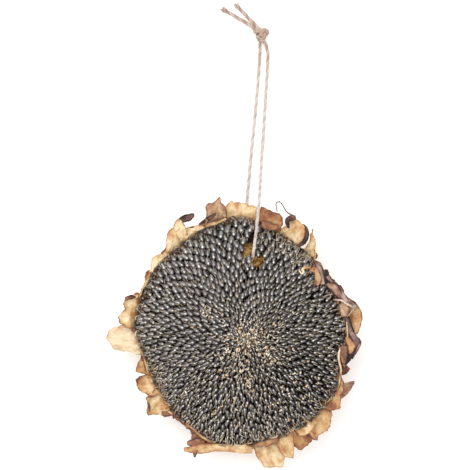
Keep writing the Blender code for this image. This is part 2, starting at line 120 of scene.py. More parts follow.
def add_node(tree, kind, settings=None, links=None):
    """A node with its sockets and properties set, its ramp's stops filled and its inputs linked."""
    node = tree.nodes.new(kind)
    for name, value in (settings or {}).items():
        if name == "stops":
            ramp = node.color_ramp
            while len(ramp.elements) < len(value):
                ramp.elements.new(0.5)
            for element, (position, colour) in zip(ramp.elements, value):
                element.position = position
                element.color = linear(colour)
        elif isinstance(name, int) or name in node.inputs:
            node.inputs[name].default_value = value
        else:
            setattr(node, name, value)
    for name, source in (links or {}).items():
        tree.links.new(source, node.inputs[name])
    return node


def add_noise(tree, place, scale, detail, roughness=0.5):
    settings = {"Scale": scale, "Detail": detail, "Roughness": roughness}
    return add_node(tree, "ShaderNodeTexNoise", settings, {"Vector": place}).outputs["Fac"]


def add_ramp(tree, value, *stops):
    return add_node(tree, "ShaderNodeValToRGB", {"stops": stops}, {"Fac": value}).outputs["Color"]


def point_value(tree, name, socket="Fac"):
    """A value that the mesh holds at each of its points."""
    return add_node(tree, "ShaderNodeAttribute", {"attribute_name": name}).outputs[socket]


def times_plus(tree, value, factor, added, clamp=False):
    """A value times a number, plus a number or another value."""
    is_number = isinstance(added, (int, float))
    return add_node(
        tree,
        "ShaderNodeMath",
        {"operation": "MULTIPLY_ADD", "use_clamp": clamp, 1: factor, **({2: added} if is_number else {})},
        {0: value, **({} if is_number else {2: added})},
    ).outputs[0]


def add_surface(tree, output, colour, roughness, height, bump_strength, bump_depth, refraction=1.45):
    """A surface of one colour socket and one roughness, with a bump from a height."""
    bump = add_node(
        tree, "ShaderNodeBump", {"Strength": bump_strength, "Distance": bump_depth * MM}, {"Height": height}
    )
    shader = add_node(
        tree,
        "ShaderNodeBsdfPrincipled",
        {"Roughness": roughness, "IOR": refraction},
        {"Base Color": colour, "Normal": bump.outputs["Normal"]},
    )
    tree.links.new(shader.outputs["BSDF"], output.inputs["Surface"])


def deselect_all():
    bpy.ops.object.select_all(action="DESELECT")


def apply_modifier(obj, kind, **settings):
    deselect_all()
    obj.select_set(True)
    bpy.context.view_layer.objects.active = obj
    modifier = obj.modifiers.new(kind, kind)
    for name, value in settings.items():
        setattr(modifier, name, value)
    bpy.ops.object.modifier_apply(modifier=modifier.name)


def turned(name, sides, rings):
    """A closed solid, drawn out from its first ring. A ring is a radius and a height."""
    deselect_all()
    radius, height = rings[0]
    bpy.ops.mesh.primitive_circle_add(
        vertices=sides, radius=radius * MM, fill_type="NGON", location=(0, 0, height * MM)
    )
    made = bpy.context.object
    made.name = name
    bpy.ops.object.transform_apply(location=True)
    bpy.ops.object.mode_set(mode="EDIT")
    bpy.ops.mesh.select_all(action="SELECT")
    for (radius, height), (next_radius, next_height) in zip(rings, rings[1:]):
        bpy.ops.mesh.extrude_region_move(
            TRANSFORM_OT_translate={"value": (0, 0, (next_height - height) * MM)}
        )
        growth = next_radius / radius
        bpy.ops.transform.resize(value=(growth, growth, 1), center_override=(0, 0, 0))
    bpy.ops.mesh.select_all(action="SELECT")
    bpy.ops.mesh.normals_make_consistent(inside=False)
    bpy.ops.object.mode_set(mode="OBJECT")
    return made


def set_values(mesh, name, numbers):
    """Holds a number at each point, which the material reads."""
    mesh.attributes.new(name, "FLOAT", "POINT").data.foreach_set("value", numbers)


def finish(obj, material, slot, *nodes):
    """Gives a piece its material and fixes it to the head. slot is not used."""
    obj.data.materials.clear()
    obj.data.materials.append(material)
    obj.data.shade_smooth()
    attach(obj, "root")
    if nodes:
        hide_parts(*nodes)


# Spongy pith under a dry tan rind: matt, mottled from straw to brown, with fine fibres that the
# bump raises. Fibres and pores are 0.5 to 3 mm, drawn as coarse as shows. dish marks the inside of
# the dish and the top of its lip, which are painted dark brown as painted shade: the shadow in the
# gaps between the seeds and along the rim.
pith_rind, tree, output = new_material("dry_pith_rind")
place = add_node(tree, "ShaderNodeTexCoord").outputs["Object"]
blotch = add_noise(tree, place, 70, 6, 0.62)
colour = add_ramp(tree, blotch, (0.30, "6E4726"), (0.45, "9C6C3A"), (0.56, "BD8D52"), (0.72, "D8B27C"))
dish = point_value(tree, "dish")
# Painted shade: where dish is 1 the colour is mixed to dark brown.
shaded = add_node(tree, "ShaderNodeMixRGB", {"Color2": linear("33281F")}, {"Fac": dish, "Color1": colour})
pores = add_noise(tree, place, 900, 3)
add_surface(tree, output, shaded.outputs["Color"], 0.88, pores, bump_strength=0.5, bump_depth=0.6)

pith_disc = turned("pith_disc", DISC_SIDES, BACK_PROFILE + DISH_PROFILE)
for vert in pith_disc.data.vertices:
    radius = vert.co.xy.length / MM
    bearing = math.degrees(math.atan2(vert.co.y, vert.co.x))
    follow = min(max((radius - ROUND_UNTIL) / (MEAN_RADIUS - ROUND_UNTIL), 0), 1)
    stretch = 1 + (rim_radius(bearing) / MEAN_RADIUS - 1) * follow
    if vert.co.z / MM < FURROWED_UNTIL:
        spot = on_head(bearing, 1, radius / FURROW_REACH) * FURROW_CELLS
        vert.co.z += FURROW_DEPTH * (noise.noise(spot) - 0.2) * MM * min(radius / FULL_FURROWS, 1)
    vert.co.xy = vert.co.xy * stretch
first_in_dish = DISC_SIDES * (len(BACK_PROFILE) - 1)
# The lip and the inside of the dish take the painted shade.
set_values(pith_disc.data, "dish", [float(vert.index >= first_in_dish) for vert in pith_disc.data.vertices])
finish(pith_disc, pith_rind, "dry_bract", "receptacle")

# Stem stub
# What is left of the stem: a ribbed, woody ring round a paler core, cut across so that the head
# lies flat on it. It is turned from the core outwards, and flares into the back.

STEM_SIDES = 60
STEM_RADIUS = 15
STEM_RINGS = (  # radius and height, from the core outwards and up
    (5.0, 1.2), (9.0, 0.9), (12.0, 0.8), (12.8, 0.1), (13.6, 0.0), (14.4, 0.0),
    (15.3, 1.2), (15.9, 3.5), (17.6, 6.0), (20.6, 8.3), (25.0, 10.0),
)
CORE_RADIUS = 12.5
RIBBED_FROM = 13.0
RIB_COUNT, RIB_HEIGHT = 10, 0.7
PORE_DEPTH, PORE_WIDTH = 0.4, 3.0  # in the core

# Weathered woody stem: brown-grey rind with fibres along it, and a straw core with open pores.
stem_wood, tree, output = new_material("woody_stem")
place = add_node(tree, "ShaderNodeTexCoord").outputs["Object"]
stretched = add_node(tree, "ShaderNodeMapping", {"Scale": (1, 1, 0.15)}, {"Vector": place})
fibres = add_noise(tree, stretched.outputs["Vector"], 420, 5)
colour = add_ramp(tree, fibres, (0.32, "5A3E25"), (0.5, "937049"), (0.68, "C2A273"))
add_surface(tree, output, colour, 0.85, fibres, bump_strength=0.6, bump_depth=0.5)

stem_stub = turned("stem_stub", STEM_SIDES, STEM_RINGS)
for vert in stem_stub.data.vertices:
    turn = math.atan2(vert.co.y, vert.co.x)
    if vert.co.xy.length > RIBBED_FROM * MM:
        vert.co.xy = vert.co.xy * (1 + RIB_HEIGHT / STEM_RADIUS * math.cos(RIB_COUNT * turn))
    if vert.co.xy.length < CORE_RADIUS * MM:
        vert.co.z += PORE_DEPTH * MM * noise.noise(vert.co / (PORE_WIDTH * MM))
finish(stem_stub, stem_wood, "dry_bract", "receptacle")

# Bracts
# Dry papery leaves grow from the disc's edge and curl as they dry. Each is a thin sheet from a
# grid, laid from its root under the rim to the outline that it shows, then crumpled and thickened.

# The seed keeps noise_vector, which starts from a new place in each run, to the same crumples.
CRUMPLE_SEED = 5
noise.seed_set(CRUMPLE_SEED)

SHEET_THICKNESS = 0.4
GRID_PITCH = 1.0
MOST_COLUMNS, MOST_ROWS = 44, 60  # of a sheet's grid
PLEAT_WIDTH, PLEAT_HEIGHT = 3.0, 0.3
BROAD_CRUMPLES, FINE_CRUMPLES = (6, 11), (2.4, 4)  # how wide and how long they are
RIDGES, STAINS = (3.4, 6.5), (7, 9)
RIDGE_HEIGHT = 1.8
# Painted shade: each sheet is darkened along its sharp crease lines, for the shade in its folds.
CREASE_WIDTH, CREASE_PAINTED_SHADE, STAIN_DARKENING = 0.10, 1.4, 0.16
ALONG_EDGE, ACROSS_EDGE = 1.6, 3.2  # how far in the dark edge reaches
RAGGED = 0.35  # how far the edge strays
ROOT_INSET, ROOT_HEIGHT = 7.0, 18.0
RIM_CLEAR, RIM_HEIGHT = 0.9, 26.8
BELLY = 1.5  # how far a bract bulges upwards between its root and its edge
EDGE_DARKENING = 0.18  # of all inner bracts, besides their own

# Dry bract: thin papery leaf, matt to faintly waxy, cream where it is bleached and orange to dark
# brown where it has weathered, with close veins along it and pinkish stains. shade runs from cream
# to dark brown, and mauve greys it; shade also holds painted shade, along the creases and on the
# folds that lie in shadow. Veins are 1.5 mm apart.
bract_paper, tree, output = new_material("dry_papery_bract")
coordinates = add_node(tree, "ShaderNodeTexCoord")
place = coordinates.outputs["Object"]
vein_place = add_node(
    tree, "ShaderNodeMapping", {"Scale": (0.8, 0.08, 1)}, {"Vector": coordinates.outputs["UV"]}
)
veins = add_noise(tree, vein_place.outputs["Vector"], 1.0, 4)
blotch = times_plus(tree, add_noise(tree, place, 150, 5, 0.6), 0.75, -0.36)
drift = times_plus(tree, blotch, 1.0, times_plus(tree, veins, 1.5, -0.72))
age_and_shade = times_plus(tree, drift, 1.0, point_value(tree, "shade"))
warm = add_ramp(
    tree, age_and_shade, (0.00, "EBD7B2"), (0.16, "D6B789"), (0.34, "BC8F5F"), (0.52, "996444"), (0.68, "704632"),
    (0.84, "41271B"), (1.00, "1E130E"),
)
grey = add_ramp(
    tree, age_and_shade, (0.0, "D3BEB3"), (0.3, "A58D84"), (0.55, "775F5A"), (0.8, "3B2E2C"), (1.0, "1C1413")
)
weathered_and_shaded = add_node(
    tree, "ShaderNodeMixRGB", {}, {"Fac": point_value(tree, "mauve"), "Color1": warm, "Color2": grey}
)
stains = times_plus(tree, add_noise(tree, place, 75, 4, 0.6), 3.0, -1.55, clamp=True)
colour = add_node(
    tree,
    "ShaderNodeMixRGB",
    {"blend_type": "MULTIPLY", "Color2": linear("EFC6B4")},
    {"Fac": stains, "Color1": weathered_and_shaded.outputs["Color"]},
)
add_surface(tree, output, colour.outputs["Color"], 0.72, veins, bump_strength=0.7, bump_depth=0.5)


def mix(low, high, share):
    return low + (high - low) * share


def ease(share):
    share = min(max(share, 0.0), 1.0)
    return share * share * (3 - 2 * share)


def along_line(points, share):
    """The point at a share of the way along straight runs between points, by how far apart they are."""
    steps = [math.dist(on_head(*a[:2], 0), on_head(*b[:2], 0)) for a, b in zip(points, points[1:])]
    left = share * sum(steps)
    for (start, end), step in zip(zip(points, points[1:]), steps):
        if left <= step or end is points[-1]:
            part = min(left / step, 1)
            return [mix(a, b, part) for a, b in zip(start, end)]
        left -= step


def fan(edge, root, height, belly=BELLY):
    """A bract that spreads from its root, two bearings, to an outline of bearings and radii."""

    def place(across, along):
        side = (across + 1) / 2
        spot = along_line(edge, side)
        bearing, radius = spot[:2]
        top = spot[2] if len(spot) > 2 else height
        root_bearing = mix(root[0], root[1], side)
        rim = rim_radius(root_bearing)
        reach = max(radius, rim + RIM_CLEAR + 0.3)
        bulge = (
            mix(root_bearing, bearing, 0.45),
            mix(rim + RIM_CLEAR, reach, 0.42),
            mix(RIM_HEIGHT, top, 0.62) + belly,
        )
        stations = (
            (root_bearing, rim - ROOT_INSET, ROOT_HEIGHT),
            (root_bearing, rim + RIM_CLEAR, RIM_HEIGHT),
            bulge,
            (bearing, reach, top),
        )
        return on_head(*along_stations(stations, along))

    return place


def blade(stations):
    """A bract along a spine of bearings, radii, heights, widths and rolls, 0 flat and 90 on edge."""

    def place(across, along):
        bearing, radius, height, width, roll = along_stations(stations, along)
        ahead = along_stations(stations, along + 0.02)
        behind = along_stations(stations, along - 0.02)
        way = (on_head(*ahead[:3]) - on_head(*behind[:3])).normalized()
        side = way.cross(Vector((0, 0, 1))).normalized()
        side.rotate(Matrix.Rotation(math.radians(roll), 3, way))
        return on_head(bearing, radius, height) + side * across * width / 2

    return place


def drape(rails):
    """A sheet laid over rails that run side by side from one end to the other."""

    def place(across, along):
        side = (across + 1) / 2 * (len(rails) - 1)
        first = min(int(side), len(rails) - 2)
        here, beyond = (Vector(along_stations(rail, along)) for rail in rails[first : first + 2])
        return here.lerp(beyond, side - first)

    return place


def in_noise(wide, far, size, layer):
    """Where a point of a sheet lies in noise with cells of a size."""
    return Vector((wide / size[0], far / size[1], layer))


def paper(name, place, shades, mauve=0.0, cup=0.12, crumple=1.3, rim_shade=0.2, pitch=GRID_PITCH):
    """A dry papery sheet. shades go from its root to its tip, and rim_shade darkens its edges."""
    draw = random.Random(name)
    shift = Vector([draw.uniform(-50, 50) for _ in range(3)])
    length = sum((place(0, k / 8) - place(0, (k + 1) / 8)).length for k in range(8))
    width = max(
        sum((place(k / 4 - 1, t) - place(k / 4 - 0.75, t)).length for k in range(8)) for t in (0.3, 0.7, 1.0)
    )
    columns = min(max(round(width / pitch), 5), MOST_COLUMNS)
    rows = min(max(round(length / pitch), 6), MOST_ROWS)
    deselect_all()
    bpy.ops.mesh.primitive_grid_add(x_subdivisions=columns, y_subdivisions=rows, size=2)
    sheet = bpy.context.object
    sheet.name = name
    mesh = sheet.data
    shade_values, places = [], []
    for vert in mesh.vertices:
        across, along = vert.co.x, (vert.co.y + 1) / 2
        free = ease((along - 0.2) / 0.4)
        point = place(across, along)
        wide, far = width * across / 2, length * along
        broad = noise.noise_vector(in_noise(wide, far, BROAD_CRUMPLES, 0) + shift)
        fine = noise.noise_vector(in_noise(wide, far, FINE_CRUMPLES, 9) + shift)
        ridge = abs(noise.noise(in_noise(wide, far, RIDGES, 21) + shift))
        pleat = math.sin(2 * math.pi * wide / PLEAT_WIDTH + 5 * fine.x + 3 * broad.y)
        point += (broad * crumple + fine * crumple * 0.4) * free
        lift = cup * width / 2 * across**2 + RIDGE_HEIGHT * crumple * (0.2 - ridge) + PLEAT_HEIGHT * pleat
        point.z += lift * free
        near_tip = ease((along - 1) * length / ALONG_EDGE + 1)
        near_side = ease((abs(across) - 1) * width / ACROSS_EDGE + 1)
        if along > 0.99 or abs(across) > 0.99:
            point += on_head(draw.uniform(0, 360), draw.uniform(0, RAGGED), 0) * free
        places.append(point * MM)
        (tone,) = along_stations([(value,) for value in shades], along)
        stain = STAIN_DARKENING * noise.noise(in_noise(wide, far, STAINS, 4) + shift)
        # The stain is the leaf's own colour; the crease term is painted shade.
        tone += stain + CREASE_PAINTED_SHADE * max(0, CREASE_WIDTH - ridge)
        shade_values.append(tone + rim_shade * max(near_tip, near_side) * free)
    uv = mesh.uv_layers.new(name="blade")
    for loop in mesh.loops:
        corner = mesh.vertices[loop.vertex_index].co
        uv.data[loop.index].uv = (corner.x * width / 2 + shift.x, (corner.y + 1) / 2 * length)
    for vert, point in zip(mesh.vertices, places):
        vert.co = point
    set_values(mesh, "shade", shade_values)
    set_values(mesh, "mauve", [mauve] * len(places))
    apply_modifier(sheet, "SOLIDIFY", thickness=SHEET_THICKNESS * MM, offset=0)
    finish(sheet, bract_paper, "dry_bract", "receptacle")


# Inner bracts: the outline of each as bearing, radius and, where it matters, height, then the two
# bearings of its root, the height of its outer edge, and its shades from root to tip.
INNER_BRACTS = {
    "bract_top_left_curl": {
        "edge": (
            (133, 86.5), (131, 90), (129, 93.5), (127, 95.8), (124, 98.2), (121, 100.5), (118.5, 101.5),
            (118, 95),
        ),
        "root": (132.5, 119), "height": 35, "shades": (0.5, 0.34, 0.1, 0.12, 0.3), "rim_shade": 0.2,
    },
    "bract_top_left_low": {
        "edge": (
            (124, 94), (121.5, 94.5), (119.4, 92.6), (117, 91), (115, 89.8), (112.5, 90.3), (110.5, 89.5),
            (109, 88),
        ),
        "root": (124, 108), "height": 33, "shades": (0.3, 0.12, 0.08, 0.12), "rim_shade": 0.12,
    },
    "bract_top_brown_leaf": {
        "edge": (
            (108, 92.5), (107.1, 94.3), (106.4, 98), (105.1, 101.7), (103.6, 104.4), (101.8, 104.2),
            (100.6, 104.9), (99.4, 106.8), (98.7, 103.2), (98, 100.3), (96.9, 96.3),
        ),
        "root": (109, 97), "height": 36, "shades": (0.45, 0.42, 0.3, 0.36, 0.46), "mauve": 0.35,
        "rim_shade": 0.22, "crumple": 1.9,
    },
    "bract_top_pale": {
        "edge": (
            (98, 96), (96, 100.5), (94.5, 103.5), (93.2, 101.6), (92, 102.4), (90, 101), (88, 101),
            (86.5, 99.8), (85, 100.5), (83, 97.5), (82, 93),
        ),
        "root": (98.5, 82), "height": 31, "shades": (0.4, 0.27, 0.22, 0.25), "rim_shade": 0.12,
    },
    "bract_top_right_brown": {
        "edge": ((81.8, 94), (81, 99.3), (78, 98), (75, 98.4), (72, 97.3), (70, 95.3), (69, 91.5)),
        "root": (82, 68.5), "height": 31, "shades": (0.55, 0.6, 0.45, 0.5, 0.66), "belly": 3.5,
    },
    "bract_top_right_curl": {
        "edge": ((67.5, 89), (66, 93), (64.3, 98.5), (62, 97.6), (60, 97.4), (58, 96), (56.5, 93)),
        "root": (69.5, 55.5), "height": 36, "shades": (0.38, 0.24, 0.18, 0.2, 0.3), "rim_shade": 0.14,
    },
    "bract_top_right_spike": {
        "edge": (
            (51.6, 86), (52.8, 90), (54.2, 94.5), (55.2, 98), (55.6, 99.9), (54.9, 97.9), (53.5, 95.6),
            (52, 94), (50, 91.3), (47, 85.5), (44.6, 81.8),
        ),
        "root": (52, 43), "height": 34, "shades": (0.45, 0.3, 0.18, 0.22, 0.34),
    },
    "bract_right_rim": {
        "edge": ((46, 81.5), (43, 82), (40, 82.2), (37, 82)),
        "root": (46.5, 36), "height": 32, "shades": (0.5, 0.5, 0.55), "mauve": 0.7,
    },
    "bract_right_top_strip": {
        "edge": (
            (37, 81), (35, 83), (33, 82), (30, 82.4), (28.5, 84.2), (26, 84), (24, 86.4), (20, 87.4),
            (17, 89.5),
        ),
        "root": (37.5, 17), "height": 33, "shades": (0.45, 0.5, 0.5, 0.6), "mauve": 0.75,
    },
    "bract_right_loop": {
        "edge": (
            (18, 88.5), (14, 93.3), (11, 96.3), (10, 97), (7, 96.4), (3, 94.8), (0, 93.3), (-2, 91.2),
            (-3, 88),
        ),
        "root": (18, -4), "height": 34, "shades": (0.5, 0.46, 0.36, 0.34, 0.4), "mauve": 0.05,
        "rim_shade": 0.4,
    },
    "bract_right_dark_fold": {
        "edge": (
            (-1.5, 88), (-2.5, 91.2), (-4, 93.8), (-5.4, 96.2), (-8, 94.6), (-10, 92.8), (-12, 90.9),
            (-15, 88.2), (-17.5, 86),
        ),
        "root": (-2, -17.5), "height": 33, "shades": (0.6, 0.6, 0.55, 0.5, 0.56), "mauve": 0.85,
        "rim_shade": 0.15, "crumple": 0.6,
    },
    "bract_right_dark_tip": {
        "edge": ((-17.8, 86.5), (-18.2, 89.5), (-18.9, 92), (-20.6, 91), (-22.4, 89.4), (-23.6, 87.6)),
        "root": (-17.5, -24), "height": 29, "shades": (0.62, 0.68, 0.72), "mauve": 0.1, "rim_shade": 0,
    },
    "bract_right_pink_point": {
        "edge": (
            (-29, 91.5), (-27.4, 94.4), (-25.6, 96.2), (-24, 98), (-25.6, 98.3), (-28, 98), (-31, 97),
            (-33.5, 95.5), (-35, 93),
        ),
        "root": (-26.5, -35), "height": 27, "shades": (0.45, 0.46, 0.48, 0.5), "mauve": 0.5,
    },
    "bract_right_low_tan": {
        "edge": (
            (-27, 91), (-31, 93.4), (-34, 95.8), (-36, 97.8), (-37.5, 99.2), (-39, 97.4), (-41, 95.8),
            (-43, 95),
        ),
        "root": (-20, -43), "height": 31, "shades": (0.5, 0.38, 0.42, 0.48),
    },
    "bract_low_right_orange": {
        "edge": (
            (-41.5, 95), (-42.5, 99), (-44.5, 100), (-47, 102.4), (-49, 104.8), (-51, 104.4),
            (-53, 103.4), (-54.5, 103.4), (-55.5, 105.4), (-56.5, 103),
        ),
        "root": (-40.5, -57), "height": 28, "shades": (0.4, 0.34, 0.3, 0.34, 0.44), "rim_shade": 0.08,
    },
    "bract_low_right_inner": {
        "edge": ((-50, 93), (-53, 95.5), (-56, 96.8), (-58.5, 96.4), (-60.5, 94)),
        "root": (-49, -62), "height": 32, "shades": (0.42, 0.3, 0.26, 0.3),
    },
    "bract_bottom_brown": {
        "edge": (
            (-56, 101), (-57, 104), (-59, 105), (-60, 105.8), (-62, 104.4), (-63.5, 105.6), (-65, 102.5),
            (-66, 100),
        ),
        "root": (-55, -67), "height": 25, "shades": (0.55, 0.55, 0.5, 0.55, 0.6),
    },
    "bract_bottom_cream_point": {
        "edge": (
            (-65, 99), (-66.2, 103), (-66.8, 106), (-67.5, 108.5), (-69, 106.3), (-70.5, 105.2),
            (-72, 102),
        ),
        "root": (-63.5, -73), "height": 29, "shades": (0.46, 0.32, 0.24, 0.22), "rim_shade": 0.12,
    },
    "bract_bottom_big_pale": {
        "edge": (
            (-70.5, 100), (-71, 105), (-72, 109.5), (-72.8, 112.6), (-74.5, 111.9), (-76.5, 111),
            (-78.5, 110.2), (-80.5, 109.3), (-81, 105), (-83, 100),
        ),
        "root": (-70.5, -84), "height": 24, "shades": (0.5, 0.42, 0.24, 0.2, 0.24), "crumple": 0.5,
    },
    "bract_bottom_rim_brown": {
        "edge": ((-71, 91.5), (-74, 92.8), (-78, 93), (-81, 92.6), (-84, 91.6)),
        "root": (-70, -86), "height": 33, "shades": (0.5, 0.52, 0.55), "mauve": 0.15,
    },
    "bract_bottom_left_shade": {
        "edge": ((-105, 94), (-107, 96.5), (-110, 97.4), (-113, 97), (-114.5, 94)),
        "root": (-104, -116), "height": 22, "shades": (0.6, 0.6, 0.6),
    },
    "bract_bottom_left_rim": {
        "edge": ((-112, 88.6), (-116, 88.4), (-120, 87.6), (-123, 86.8)),
        "root": (-110, -124), "height": 30, "shades": (0.5, 0.5, 0.55),
    },
    "bract_low_left_thin": {
        "edge": ((-122, 87), (-125, 85.6), (-127.4, 86), (-128, 88.3), (-129, 86.4), (-131, 86.2)),
        "root": (-121, -132), "height": 29, "shades": (0.5, 0.55, 0.62), "rim_shade": 0.15,
    },
    "bract_low_left_point": {
        "edge": (
            (-129, 86.5), (-130, 88.5), (-132, 90.8), (-134, 93.3), (-136, 95.8), (-137.5, 98.2),
            (-138.5, 99.6), (-140, 97.3), (-142, 94.8), (-144, 92.8), (-144.8, 90.5),
        ),
        "root": (-129.5, -146), "height": 30, "shades": (0.45, 0.38, 0.24, 0.22, 0.3), "rim_shade": 0.2,
        "crumple": 1.8,
    },
    "bract_low_left_tan": {
        "edge": (
            (-144, 89.5), (-146, 90.6), (-149, 92.3), (-152, 93), (-153.5, 92.4), (-155.2, 91.2),
            (-154.6, 89),
        ),
        "root": (-142, -156), "height": 31, "shades": (0.45, 0.32, 0.26, 0.42), "rim_shade": 0.2,
        "crumple": 1.8,
    },
    "bract_left_orange_hump": {
        "edge": ((-156, 83.5), (-157, 86.4), (-159, 88.4), (-161, 87.5), (-163, 85.4), (-164.5, 82)),
        "root": (-154.5, -166), "height": 33, "shades": (0.5, 0.42, 0.4, 0.5), "belly": 2.5,
        "rim_shade": 0.2,
    },
    "bract_left_pale_tongue": {
        "edge": (
            (193, 83), (191.8, 85.5), (190.6, 90.2), (189.6, 95.4), (188.2, 100.6), (186.6, 103.4),
            (184.8, 105.2), (183.2, 107.2), (181.6, 106), (179.6, 104), (178.2, 100.4), (177.6, 96.4),
            (177.6, 92),
        ),
        "root": (194, 178), "height": 29, "shades": (0.34, 0.26, 0.1, 0.06, 0.1), "mauve": 0.2,
        "rim_shade": 0.06,
    },
    "bract_left_yellow": {
        "edge": (
            (178, 90), (177, 93.6), (175.6, 96.4), (173.6, 97.2), (171.6, 95), (169, 93.6), (166.6, 95.2),
            (164.6, 95.6), (163, 92), (161.4, 87.6),
        ),
        "root": (179, 160), "height": 34, "shades": (0.45, 0.36, 0.26, 0.2, 0.3), "rim_shade": 0.2,
        "crumple": 2,
    },
    "bract_left_rim_strip": {
        "edge": ((162, 85.5), (158, 85.4), (155, 84.6), (151, 85.2), (147, 86)),
        "root": (163, 146), "height": 32, "shades": (0.32, 0.26, 0.3),
    },
    "bract_left_hump": {
        "edge": (
            (148, 85.6), (146, 86.4), (143, 88), (141, 89.2), (139, 89), (137, 88), (135, 86.6),
            (132.5, 87.4),
        ),
        "root": (149, 132), "height": 32, "shades": (0.28, 0.2, 0.15, 0.2),
    },
}
for name, bract in INNER_BRACTS.items():
    place = fan(bract["edge"], bract["root"], bract["height"], bract.get("belly", BELLY))
    paper(
        name, place, bract["shades"], bract.get("mauve", 0.0),
        crumple=bract.get("crumple", 1.5), rim_shade=EDGE_DARKENING + bract.get("rim_shade", 0.1),
    )

